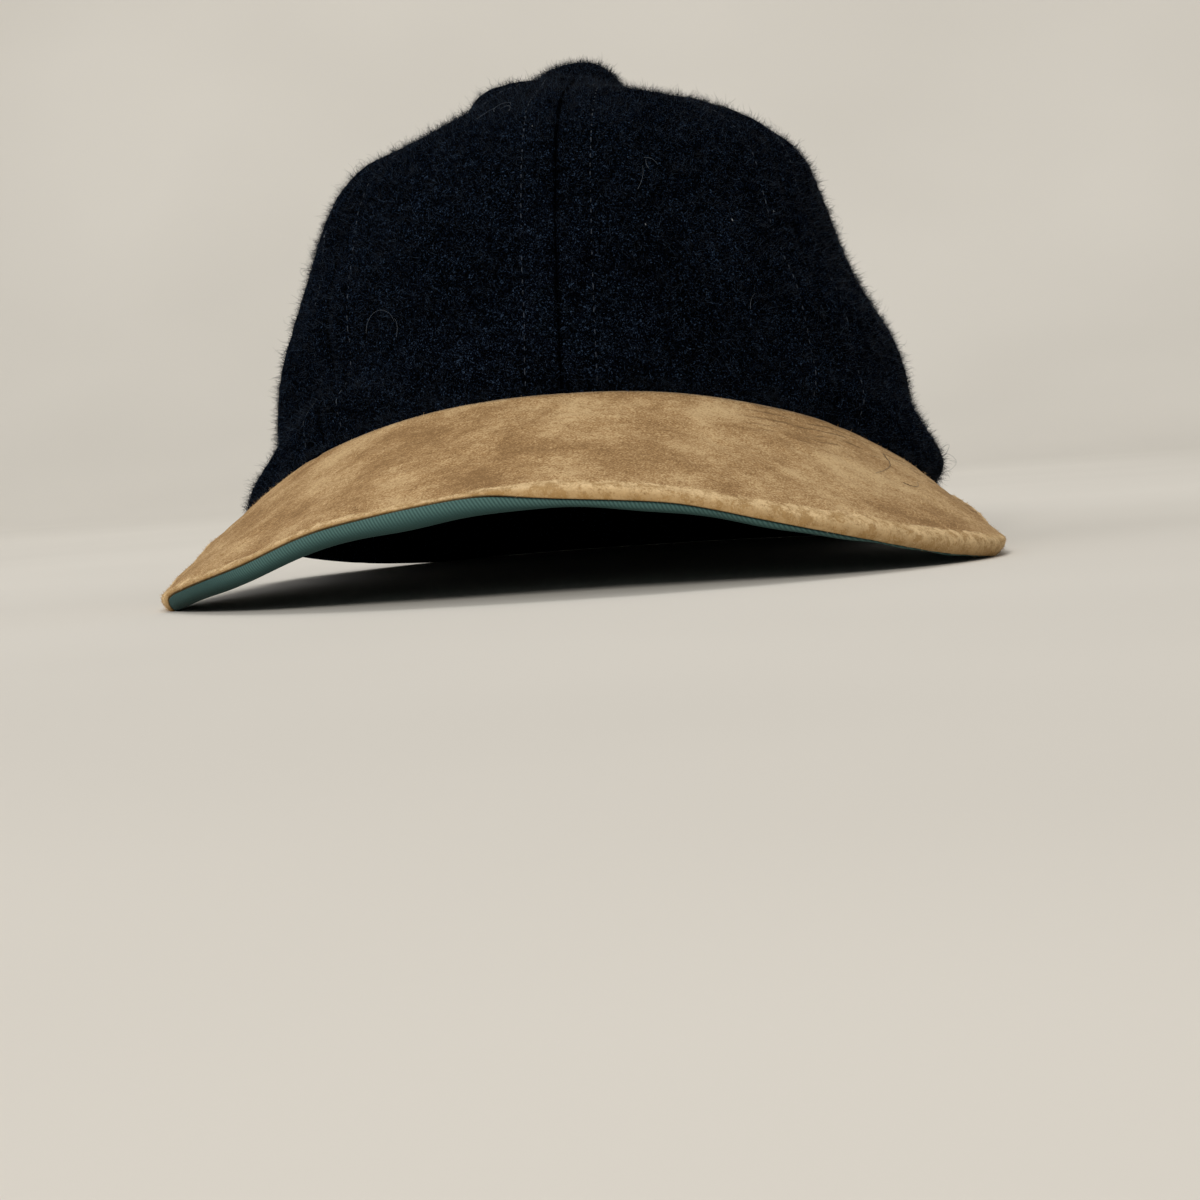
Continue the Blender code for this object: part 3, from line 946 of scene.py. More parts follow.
@dataclass(frozen=True)
class CrownShape:
    """The crown as a function of an angle round it and a ring up it."""

    axis: tuple[float, float]
    half_width: float = 0.0800
    front_reach: float = 0.0950
    back_reach: float = 0.0990
    height: float = 0.1180
    oval: float = 0.94
    wool: float = 0.0024
    hole: float = 0.0028
    rim_arch: float = 0.0358
    swag: float = 0.0022
    seam_dip: float = 0.0007
    seam_roll: float = 0.0022
    seams: tuple[float, ...] = (-180, -117, -53, 0, 49, 115, 180)
    bent_seams: tuple[tuple[int, str], ...] = ((2, "right"), (4, "left"))

    # Relief of the cloth itself.
    edge_roll: float = 0.0007
    stitch_offset: float = 0.0080
    stitch_furrow: float = 0.00022
    furrow_width: float = 0.0011
    allowance_rise: float = 0.00010
    allowance_edge: tuple[float, float] = (-0.0004, 0.0020)
    button_clear: tuple[float, float] = (0.014, 0.026)
    felt_rise: float = 0.00010
    felt: Ripple = Ripple(0.0022, 0.0060, seed=3)
    slack_rise: float = 0.00035
    slack: Ripple = Ripple(0.016, 0.045, waves=16, seed=8)
    slack_from: tuple[float, float] = (0.02, 0.12)
    peak_end: float = 79.0
    peak_cover: float = 0.0046

    # How finely lines are searched and read.
    slope_step: float = 1e-3
    halvings: int = 30
    seam_rounds: int = 4
    fine_steps: int = 400

    def rim_height(self, angle: Array) -> Array:
        """Returns the rim's height over the surface; its back half lies flat on it."""
        return np.maximum(self.rim_arch * RIM.read("height", in_degrees(angle)), 0)

    def rim_plan(self, angle: Array) -> tuple[Array, Array]:
        """The rim from above: an oval with two reaches, flared at the peak's ends.

        Args:
            angle: Radians round from the front.

        Returns:
            How far it lies across and how far back.
        """
        flare = RIM.read("flare", in_degrees(angle))
        reach = (self.front_reach + self.back_reach) / 2
        lean = (self.front_reach - self.back_reach) / 2
        sine, cosine = np.sin(angle), np.cos(angle)
        across = self.half_width * (1 + flare) * np.sign(sine) * np.abs(sine) ** self.oval
        return across, -(reach + lean * cosine) * np.sign(cosine) * np.abs(cosine) ** self.oval

    def seam_lines(self, ring: Array) -> Array:
        """Returns the angle of every seam in degrees at each ring, the seams on the first axis."""
        bends = {number: SEAM_BEND.read(side, ring) for number, side in self.bent_seams}
        return np.stack([seam + bends.get(i, 0 * ring) for i, seam in enumerate(self.seams)])

    def from_seam(self, angle: Array, ring: Array, radius: Array) -> Array:
        """Returns the distance along the wool to the nearest seam, an arc at the plan radius."""
        away = np.abs(in_degrees(angle) - self.seam_lines(ring))
        return np.radians(away.min(axis=0)) * radius

    def panel_share(self, angle: Array, ring: Array) -> Array:
        """How far points are from their panel's seams, along half a sine.

        Args:
            angle: Radians round from the front.
            ring: 0 at the rim to 1 on the top.

        Returns:
            0 at both seams to 1 down the panel's middle.
        """
        degrees, lines = in_degrees(angle), self.seam_lines(ring)
        share = np.zeros_like(lines[0])
        for low, high in zip(lines[:-1], lines[1:]):
            share = np.where(degrees >= low, (degrees - low) / (high - low), share)
        return np.sin(math.pi * np.clip(share, 0, 1))

    def hollows(self, table: Table, angle: Array, up: Array) -> Array:
        """Sums a table's hollows, each a bell in angle and height.

        Args:
            table: The hollows.
            angle: Radians round from the front.
            up: Share of the height.

        Returns:
            Metres inwards.
        """
        degrees = in_degrees(angle)
        depth = np.zeros_like(np.asarray(up + angle, float))
        for row in table.each():
            away = (degrees - row["angle"] + 180) % 360 - 180
            depth += row["depth"] * np.exp(
                -((away / row["wide"]) ** 2) - ((up - row["up"]) / row["tall"]) ** 2
            )
        return depth * self.wool

    def body(self, angle: Array, ring: Array | float) -> Array:
        """A point on the crown's body, round its own axis.

        The outline at each level is a share of the rim's plan, which turns with the angle from the
        front's to the side's to the back's. The wool swags between its seams and has soft dents.

        Args:
            angle: Radians round from the front.
            ring: 0 at the rim to 1 on the top.

        Returns:
            Points, with the axis last.
        """
        angle, ring = np.broadcast_arrays(np.asarray(angle, float), np.asarray(ring, float))
        level = ring * RINGS.rows[-1][0]
        up = RINGS.read("up", level)
        front = np.clip(np.cos(angle), 0, 1) ** 2
        back = np.clip(-np.cos(angle), 0, 1) ** 2
        side = np.where(np.sin(angle) > 0, RINGS.read("left", level), RINGS.read("right", level))
        out = front * RINGS.read("front", level) + back * RINGS.read("back", level)
        out = out + (1 - front - back) * side
        across, along = self.rim_plan(angle)
        radius = np.hypot(across, along)
        rim = self.rim_height(angle)
        soft = np.sin(math.pi * np.clip(up, 0, 1)) ** 0.5
        inwards = self.swag * soft * self.panel_share(angle, ring)
        inwards = inwards + self.hollows(DENTS, angle, up) + self.hollows(FOLDS, angle, up)
        dip = np.exp(-((self.from_seam(angle, ring, radius * out) / self.seam_roll) ** 2))
        inwards = inwards + self.seam_dip * dip * (up > 0)
        scale = np.maximum(out - inwards * np.minimum(out * 3, 1) / radius, 0)
        height = rim + up * (self.height - rim) - inwards * np.clip(1 - out, 0, 1)
        return np.stack([across * scale, along * scale, height], axis=-1)

    def normal(self, angle: Array, ring: Array) -> Array:
        """The direction out of the crown, the cross product of the body's slopes both ways.

        Args:
            angle: Radians round from the front.
            ring: 0 at the rim to 1 on the top.

        Returns:
            Unit vectors.
        """
        step = self.slope_step
        low, high = np.clip(ring - step, 0, 1), np.clip(ring + step, 0, 1)
        along = self.body(angle, high) - self.body(angle, low)
        across = self.body(angle + step, ring) - self.body(angle - step, ring)
        return unit(np.cross(across, along))

    def relief(self, angle: Array, ring: Array, body: Array) -> Array:
        """How far the cloth stands out from the body.

        Each panel's edge rolls in along a quarter circle. A furrow runs under each row of stitches,
        the sewn-down allowance lifts the strip between them, and the felt is uneven throughout.

        Args:
            angle: Radians round from the front.
            ring: 0 at the rim to 1 on the top.
            body: The body's points there.

        Returns:
            Metres outwards.
        """
        radius = np.hypot(body[..., 0], body[..., 1])
        seam = self.from_seam(angle, ring, radius)
        clear = smooth(radius, *self.button_clear)
        inside = np.clip(1 - seam / self.edge_roll, 0, 1)
        out = -self.edge_roll * (1 - np.sqrt(1 - inside**2))
        furrow = np.exp(-(((seam - self.stitch_offset) / self.furrow_width) ** 2))
        out = out - self.stitch_furrow * clear * furrow
        strip = smooth(self.stitch_offset - seam, *self.allowance_edge)
        out = out + self.allowance_rise * clear * strip
        up = RINGS.read("up", ring * RINGS.rows[-1][0])
        out = out + self.felt_rise * self.felt.at(body)
        return out + self.slack_rise * smooth(up, *self.slack_from) * self.slack.at(body)

    def cloth(self, angle: Array, ring: Array) -> Array:
        """Returns points on the cloth's face: the body plus its relief, square to the body."""
        body = self.body(angle, ring)
        return body + self.relief(angle, ring, body)[..., None] * self.normal(angle, ring)

    def beside_plane(self, angle: Array) -> Array:
        """Returns the direction square to the upright plane through the axis at each angle."""
        across, along = self.rim_plan(angle)
        return unit(np.stack([-along, across, np.zeros_like(across)], axis=-1))

    def inside(self, angle: Array, ring: Array) -> Array:
        """The wool's back: the body set in by its thickness, within the upright plane.

        Args:
            angle: Radians round from the front.
            ring: 0 at the rim to 1 on the top.

        Returns:
            Points of the back.
        """
        plane = self.beside_plane(angle)
        normal = self.normal(angle, ring)
        normal = unit(normal - np.sum(normal * plane, axis=-1, keepdims=True) * plane)
        return self.body(angle, ring) - self.wool * normal

    def ring_where(
        self, reached: Callable[[Array], Array], angle: Array, low: float, high: float
    ) -> Array:
        """Finds the ring from which a test of the body's points holds, by halving.

        Args:
            reached: The test.
            angle: Radians round from the front.
            low: A ring below it.
            high: A ring above it.

        Returns:
            The ring at each angle.
        """
        lows, highs = np.full_like(angle, low), np.full_like(angle, high)
        for _ in range(self.halvings):
            middle = (lows + highs) / 2
            done = reached(self.body(angle, middle))
            lows, highs = np.where(done, lows, middle), np.where(done, middle, highs)
        return (lows + highs) / 2

    def ring_at_height(self, angle: Array, height: Array) -> Array:
        """Returns the ring at a height over the surface."""
        return self.ring_where(lambda point: point[..., 2] >= height, angle, 0, 0.6)

    def ring_at_radius(self, angle: Array, radius: float) -> Array:
        """Returns the ring at which the top closes to a radius."""
        return self.ring_where(
            lambda point: np.hypot(point[..., 0], point[..., 1]) <= radius, angle, 0.6, 1
        )

    def even_rings(self, angle: float, count: int) -> Array:
        """Shares of the way up at equal steps along the wool.

        Args:
            angle: Radians round from the front.
            count: How many to give.

        Returns:
            Rings from 0 to 1.
        """
        rings = np.linspace(0, 1, self.fine_steps)
        run = run_along(self.body(np.full_like(rings, angle), rings))
        return np.interp(np.linspace(0, run[-1], count), run, rings)

    def beside_seam(self, number: int, offset: float, ring: Array) -> Array:
        """A line up the crown at a distance from a seam, an arc at the plan radius.

        Args:
            number: The seam's place in the list.
            offset: Its distance, above 0 towards the wearer's left.
            ring: 0 at the rim to 1 on the top.

        Returns:
            Radians round from the front.
        """
        seam = np.radians(self.seam_lines(ring)[number])
        angle = seam
        for _ in range(self.seam_rounds):
            point = self.body(angle, ring)
            angle = seam + offset / np.hypot(point[..., 0], point[..., 1])
        return angle

    def covered(self, angle: Array, points: Array) -> Array:
        """Returns whether points on the rim are behind the peak's root."""
        under = points[..., 2] < self.rim_height(angle) + self.peak_cover - 0.1 * MM
        return under & (np.abs(in_degrees(angle)) < self.peak_end + 1)

    def placed(self, points: Array) -> Array:
        """Returns points moved from the crown's axis to the row frame, none below the surface."""
        moved = points + np.array([*self.axis, 0.0])
        return np.maximum(moved, [-np.inf, -np.inf, 0.0])


@dataclass(frozen=True)
class Nap:
    """The raised nap: thin, tapered fibres all over a surface, most of them short and straight.

    They are drawn three times as thick as wool's 0.03 mm, as the tufts that show at this distance.
    """

    short_count: int
    long_count: int = 0
    short: tuple[float, float] = (0.0006, 0.0026)
    long: tuple[float, float] = (0.0018, 0.0044)
    short_radius: float = 0.000048
    long_radius: float = 0.000034
    long_segments: int = 3
    sink: float = 0.00015
    # Degrees that a fibre may lean, how much fewer are long, and its thinning and turning.
    leans: tuple[float, float] = (5, 70)
    shortness: float = 1.6
    thinning: float = 0.6
    turning: float = 0.75
    darkness: float = 3

    def fibres(
        self,
        roots: Array,
        normals: Array,
        lengths: tuple[float, float],
        radius: float,
        segments: int,
        rng: np.random.Generator,
    ) -> Surface:
        """Three-sided fibres that close to a point, more of them short than long.

        A fibre leaves its root at a random tilt from the surface's normal, and each further segment
        turns by a random step.

        Args:
            roots: Where the fibres start.
            normals: Unit normals there.
            lengths: Their least and greatest length.
            radius: Their radius at the root.
            segments: Straight parts in each.
            rng: The random source.

        Returns:
            The fibres.
        """
        n = len(roots)
        spread = rng.random((n, 1)) ** self.shortness
        step = (lengths[0] + (lengths[1] - lengths[0]) * spread) / segments
        tilt = np.radians(rng.uniform(*self.leans, n))[:, None]
        first, second = beside(normals)
        spin = rng.uniform(0, 2 * math.pi, n)[:, None]
        way = np.cos(tilt) * normals + np.sin(tilt) * (np.cos(spin) * first + np.sin(spin) * second)
        turns = np.radians((0.0, 120.0, 240.0))
        point = roots - self.sink * normals
        rings = []
        for segment in range(segments):
            one, two = beside(way)
            ring = np.cos(turns)[:, None, None] * one + np.sin(turns)[:, None, None] * two
            width = radius * (1 - self.thinning * segment / segments)
            rings.append(point[None] + width * ring)
            point = point + step * way
            way = unit(way + self.turning * unit(rng.normal(size=(n, 3))))
        shapes = np.concatenate([*rings, point[None]]).transpose(1, 0, 2)
        return repeated(shapes, prism(segments, 3, (False, True)))

    def grow(self, roots: Array, normals: Array, rng: np.random.Generator) -> tuple[Surface, Array]:
        """Short fibres from most of the places and long ones from the rest.

        Args:
            roots: Where the fibres start, in random order.
            normals: Unit normals there.
            rng: The random source.

        Returns:
            The fibres, and the tone of each of their points from 0 to 1.
        """
        split = round(len(roots) * self.short_count / (self.short_count + self.long_count))
        kinds = [(slice(0, split), self.short, self.short_radius, 1)]
        if self.long_count:
            kinds.append((slice(split, None), self.long, self.long_radius, self.long_segments))
        made, tones = [], []
        for part, lengths, radius, segments in kinds:
            made.append(self.fibres(roots[part], normals[part], lengths, radius, segments, rng))
            tone = rng.random(len(roots[part])) ** self.darkness
            tones.append(np.repeat(tone, 3 * segments + 1))
        return together(made), np.concatenate(tones)


@dataclass
class CrownPanel:
    """One gore of melton between two seams, with its nap."""

    crown: CrownShape
    name: str
    number: int
    columns: int = 90
    rows: int = 108
    inside_rows: int = 26
    hem_steps: int = 5
    seam_gap: float = 0.00004
    near_seam: tuple[float, ...] = (0.0, 0.0001, 0.0003, 0.0006, 0.0010, 0.0015)
    fringe: float = 2.5
    fringe_band: tuple[float, float] = (-0.0002, 0.0016)
    tufted: float = 0.9
    tufts: Ripple = Ripple(0.0020, 0.0070, seed=41)
    groove_width: float = 0.0005
    nap_seed: int = 100

    def grid(self) -> tuple[Array, Array]:
        """Angles and rings of the panel's face, closer together beside its seams.

        Returns:
            Radians and rings, both by column and row.
        """
        crown = self.crown
        shares = crown.even_rings(0.0, self.rows)
        low, high = np.radians(crown.seam_lines(shares)[self.number : self.number + 2])
        middle = crown.body((low + high) / 2, shares)
        radius = np.maximum(np.hypot(middle[:, 0], middle[:, 1]), crown.hole)
        width = (high - low) * radius
        near = np.array(self.near_seam)[:, None] * np.minimum(1, width / 0.012) / width
        count = self.columns - 2 * len(near)
        steps = np.linspace(0, 1, count + 2)[1:-1, None]
        between = near[-1] + (1 - 2 * near[-1]) * steps
        across = np.concatenate([near, between, 1 - near[::-1]])
        angles = low + (high - low) * across
        hem = crown.wool / 2
        bottom = crown.ring_at_height(angles[:, 0], crown.rim_height(angles[:, 0]) + hem)
        top = crown.ring_at_radius(angles[:, -1], crown.hole)
        rings = bottom[:, None] + (top - bottom)[:, None] * shares
        low, high = np.radians(crown.seam_lines(rings)[self.number : self.number + 2])
        return low + (high - low) * across, rings

    def face(self) -> tuple[Array, Array, Array]:
        """Returns the angles, rings and points of the cloth's face."""
        angles, rings = self.grid()
        return angles, rings, self.crown.cloth(angles, rings)

    def sewn(self, angles: Array, rings: Array, face: Array) -> Surface:
        """The panel as a closed body.

        Each column's section runs up the face, down the back and round a hem, half an ellipse as
        wide as the wool. The first and last stand half a gap clear of the seams.

        Args:
            angles: Radians by column and row.
            rings: Rings by column and row.
            face: The cloth's points there.

        Returns:
            The body.
        """
        crown = self.crown
        pick = np.linspace(0, self.rows - 1, self.inside_rows).round().astype(int)
        back = crown.inside(angles[:, pick], rings[:, pick])
        middle, half = (face[:, :1] + back[:, :1]) / 2, (face[:, :1] - back[:, :1]) / 2
        turn = np.linspace(math.pi, 0, self.hem_steps + 2)[1:-1][None, :, None]
        drop = (middle[..., 2:] - crown.rim_height(angles[:, :1])[..., None]) * [0.0, 0.0, -1.0]
        hem = middle + np.cos(turn) * half + np.sin(turn) * drop
        sections = np.concatenate([face, back[:, ::-1], hem], axis=1)
        for column, sign in ((0, 1), (-1, -1)):
            across = crown.beside_plane(angles[column].mean(keepdims=True))
            sections[column] += sign * self.seam_gap / 2 * across
        return loft(crown.placed(sections))

    def roots(self, angles: Array, rings: Array, face: Array, count: int) -> tuple[Array, Array]:
        """Random places on the face, in tufts and closer together along the peak's seam.

        Args:
            angles: Radians by column and row.
            rings: Rings by column and row.
            face: The cloth's points there.
            count: How many places to draw.

        Returns:
            Points round the crown's own axis, and the normals there.
        """
        rng = np.random.default_rng(self.number)
        start = angles[:-1, :-1]
        over = face[:-1, :-1, 2] - self.crown.rim_height(start) - self.crown.peak_cover
        fringe = (over > self.fringe_band[0]) & (over < self.fringe_band[1])
        fringe &= np.abs(in_degrees(start)) < self.crown.peak_end
        tufts = np.exp(self.tufted * self.tufts.at(face[:-1, :-1]))
        area = (cell_areas(face) * tufts * (1 + self.fringe * fringe)).ravel()
        cells = rng.choice(area.size, size=count, p=area / area.sum())
        place = (*np.divmod(cells, face.shape[1] - 1), rng.random(count), rng.random(count))
        angle, ring = in_cells(angles, *place), in_cells(rings, *place)
        points = self.crown.cloth(angle, ring)
        radius = np.hypot(points[..., 0], points[..., 1])
        bare = self.crown.covered(angle, points)
        bare |= self.crown.from_seam(angle, ring, radius) < self.groove_width
        return points[~bare], self.crown.normal(angle, ring)[~bare]

    def build(self, wardrobe: Wardrobe, nap: Nap) -> None:
        """Makes the panel and its nap.

        Args:
            wardrobe: The finishes.
            nap: How the nap grows.
        """
        angles, rings, face = self.face()
        away = self.crown.from_seam(angles, rings, np.hypot(face[..., 0], face[..., 1]))
        # The groove attribute marks where the wool's finish paints shade down each seam.
        groove = np.zeros((self.columns, self.rows + self.inside_rows + self.hem_steps))
        groove[:, : self.rows] = np.exp(-((away / self.groove_width) ** 2))
        surface = self.sewn(angles, rings, face)
        piece = surface.to_piece(f"wool_panel_{self.name}", {"groove": groove.ravel()})
        dress(piece, wardrobe.wool, [f"crown_panel_{self.name}"])
        points, normals = self.roots(angles, rings, face, nap.short_count + nap.long_count)
        rng = np.random.default_rng(self.number + self.nap_seed)
        surface, tone = nap.grow(self.crown.placed(points), normals, rng)
        strew(surface, f"wool_nap_{self.name}", tone, wardrobe.fibre)


@dataclass
class Stitching:
    """Rows of stitches up the crown, one on each side of every seam."""

    crown: CrownShape
    pitch: float = 0.0026
    length: float = 0.0018
    radius: float = 0.00014
    flatness: float = 0.8
    top_radius: float = 0.0165
    above_peak: float = 0.0015
    rise: float = 0.00005
    sunk: float = 0.00016
    dive: float = 0.00022
    tip_depth: float = 0.0002
    askew: float = 0.06
    look_ahead: float = 0.0004
    line_steps: int = 700
    sides: int = 6
    seed: int = 31
    # Shares of a stitch's half length, and of its radius there.
    profile: tuple[tuple[float, ...], ...] = (
        (-0.92, -0.45, 0.0, 0.45, 0.92),
        (0.55, 0.95, 1.0, 0.95, 0.55),
    )

    def row(self, number: int, offset: float) -> tuple[Array, Array, Array]:
        """Middles, directions and normals of the stitches of one row.

        Args:
            number: The seam's place in the crown's list.
            offset: Distance from it, positive towards the wearer's left.

        Returns:
            Three arrays with a row for each stitch.
        """
        crown = self.crown
        start = np.radians(crown.seam_lines(np.zeros(1))[number])
        floor = crown.rim_height(start) + crown.peak_cover + self.above_peak
        base = crown.ring_at_height(start, floor)[0]
        top = crown.ring_at_radius(start, self.top_radius)[0]
        rings = np.linspace(base, top, self.line_steps)
        angles = crown.beside_seam(number, offset, rings)
        line = crown.cloth(angles, rings)
        run = run_along(line)
        at = np.arange(self.pitch / 2, run[-1], self.pitch)
        ring, angle = np.interp(at, run, rings), np.interp(at, run, angles)
        middle = crown.cloth(angle, ring)
        further = at + self.look_ahead
        ahead = np.stack([np.interp(further, run, line[:, k]) for k in range(3)], axis=-1)
        return middle, unit(ahead - middle), crown.normal(angle, ring)

    def build(self, wardrobe: Wardrobe) -> None:
        """Makes every stitch: a flat spindle whose ends dive into the wool.

        Args:
            wardrobe: The finishes.
        """
        rows = [
            self.row(number, side * self.crown.stitch_offset)
            for number in range(len(self.crown.seams) - 1)
            for side in (-1, 1)
        ]
        middle, along, normal = (np.concatenate(part) for part in zip(*rows))
        rng = np.random.default_rng(self.seed)
        middle = middle - (self.sunk * rng.random(len(middle)) ** 2)[:, None] * normal
        along = unit(along + self.askew * rng.normal(size=along.shape))
        along = unit(along - np.sum(along * normal, axis=-1, keepdims=True) * normal)
        across = unit(np.cross(along, normal))
        share, thick = np.array(self.profile)[:, None, :, None]
        core = middle[:, None] + share * self.length / 2 * along[:, None]
        core = core + (self.rise - self.dive * share**2) * normal[:, None]
        turn = np.linspace(0, 2 * math.pi, self.sides, endpoint=False)[:, None]
        round_it = np.cos(turn) * across[:, None]
        round_it = round_it + self.flatness * np.sin(turn) * normal[:, None]
        rings = core[:, :, None] + (thick * self.radius)[..., None] * round_it[:, None]
        ends = np.array([-0.5, 0.5])[:, None] * self.length * along[:, None]
        tips = middle[:, None] + ends - self.tip_depth * normal[:, None]
        shapes = np.concatenate([rings.reshape(len(middle), -1, 3), tips], axis=1)
        faces = prism(len(self.profile[0]), self.sides, (True, True))
        surface = repeated(self.crown.placed(shapes), faces)
        dress(surface.to_piece("crown_topstitching"), wardrobe.thread)


@dataclass
class Strays:
    """Long hairs that stand off the wool, and specks of lint caught in it."""

    crown: CrownShape
    radius: float = 0.000034
    taper: float = 0.45
    lint_radius: float = 0.00011
    lint_points: int = 5
    lint_curl: tuple[tuple[str, float], ...] = (("heading", 70), ("turn", 60), ("lift", 0.1))
    clearance: float = 0.15 * MM
    steps: int = 26

    def curl(self, row: dict[str, float]) -> Array:
        """A path that turns evenly over the surface and lifts off it along half a sine.

        Args:
            row: Its root's angle and ring, and its heading, length, turn and lift.

        Returns:
            Points along the hair.
        """
        angle, ring = np.array([math.radians(row["angle"])]), np.array([row["ring"]])
        root, normal = self.crown.cloth(angle, ring)[0], self.crown.normal(angle, ring)[0]
        share = np.linspace(0, 1, self.steps)
        heading = np.radians(row["heading"] + row["turn"] * share)
        step = row["length"] * MM / (self.steps - 1)
        x = np.concatenate([[0], np.cumsum(np.cos(heading[1:]) * step)])
        y = np.concatenate([[0], np.cumsum(np.sin(heading[1:]) * step)])
        first = unit(np.cross([0.0, 0.0, 1.0], normal))
        second = np.cross(normal, first)
        lift = row["lift"] * MM * np.sin(math.pi * (0.1 + 0.75 * share))
        fall = (x**2 + y**2) / (2 * self.crown.half_width)
        path = root + x[:, None] * first + y[:, None] * second
        return self.crown.placed(path + (self.clearance + lift - fall)[:, None] * normal)

    def build(self, wardrobe: Wardrobe) -> None:
        """Makes the hairs and the lint.

        Args:
            wardrobe: The finishes.
        """
        radii = np.linspace(1, self.taper, self.steps) * self.radius
        hairs = [tube(self.curl(row), radii) for row in STRAYS.each()]
        strew(together(hairs), "stray_hairs", 0.6, wardrobe.hair)
        specks = []
        for row in LINT.each():
            path = self.curl(row | dict(self.lint_curl))[:: self.steps // self.lint_points]
            bulge = self.lint_radius * np.sin(np.linspace(0.15, 0.85, len(path)) * math.pi)
            specks.append(tube(path, bulge))
        strew(together(specks), "lint_specks", 0.5, wardrobe.lint)


@dataclass
class Button:
    """The wool-covered button on the top, gathered in at its edge."""

    crown: CrownShape
    radius: float = 0.0104
    height: float = 0.0041
    shank: float = 0.0020
    slope: float = 0.95
    foot: float = 0.0022
    foot_height: float = 0.0013
    sides: int = 96
    rows: int = 22
    pleats: int = 13
    pleat_depth: float = 0.00007
    seat_gap: float = 0.00005
    # Shares of the radius where its underside follows the crown, and the dome's turns in degrees.
    under_shares: tuple[float, float] = (0.6, 0.95)
    turns: tuple[float, float] = (4.0, 88.5)
    jitter: float = 0.0002
    seed: int = 61

    def rings(self) -> Array:
        """The button's outline turned round the axis.

        The dome's radius falls as a power of the cosine of a turn while its height rises with the
        sine, and its foot spreads by a falling exponential of the height. Its underside follows the
        crown and runs down a shank.

        Returns:
            Points by row, place round it and axis.
        """
        crown = self.crown
        angles = np.linspace(0, 2 * math.pi, self.sides, endpoint=False)
        top = float(crown.body(np.array(0.0), 1.0)[2])

        def circle(radius: Array | float, height: Array | float) -> Array:
            """Returns a level ring."""
            return np.stack(
                np.broadcast_arrays(radius * np.sin(angles), -radius * np.cos(angles), height),
                axis=-1,
            )

        def seat(radius: float) -> Array:
            """Returns heights just above the crown at a radius."""
            return crown.body(angles, crown.ring_at_radius(angles, radius))[:, 2] + self.seat_gap

        rows = [
            circle(self.shank, top - crown.wool),
            circle(self.shank, seat(crown.hole)),
            *(circle(self.radius * k, seat(self.radius * k)) for k in self.under_shares),
        ]
        edge = seat(self.radius + self.foot)
        for turn in np.radians(np.linspace(*self.turns, self.rows)):
            height = edge + (top + self.height - edge) * math.sin(turn)
            gather = self.pleat_depth * math.cos(turn) ** 2 * np.sin(self.pleats * angles)
            spread = self.foot * math.exp(-self.height * math.sin(turn) / self.foot_height)
            radius = self.radius * math.cos(turn) ** self.slope + spread * math.cos(turn)
            rows.append(circle(radius + gather, height))
        return np.stack(rows)

    def build(self, wardrobe: Wardrobe, nap: Nap) -> None:
        """Makes the button and its nap.

        Args:
            wardrobe: The finishes.
            nap: How the nap grows.
        """
        rows = self.rings()
        piece = loft(self.crown.placed(rows)).to_piece("wool_button")
        dress(piece, wardrobe.wool, ["crown_button"])
        rng = np.random.default_rng(self.seed)
        dome = rows[1 - self.rows :]
        across = np.roll(dome, -1, axis=1) - np.roll(dome, 1, axis=1)
        normals = unit(np.cross(across, np.gradient(dome, axis=0)))
        weight = np.linalg.norm(dome[..., :2], axis=-1).ravel()
        count = nap.short_count + nap.long_count
        spot = rng.choice(weight.size, size=count, p=weight / weight.sum())
        roots = dome.reshape(-1, 3)[spot] + rng.normal(scale=self.jitter, size=(count, 3))
        surface, tone = nap.grow(self.crown.placed(roots), normals.reshape(-1, 3)[spot], rng)
        strew(surface, "wool_nap_button", tone, wardrobe.fibre)


# --- Peak ---


@dataclass
class PeakLines:
    """The lines that every section of the peak is drawn from, a row for each station."""

    station: Array
    low: Array
    high: Array
    root: Array
    edge: Array
    forward: Array
    up: Array
    seam: Array
    flat_root: Array
    flat_forward: Array


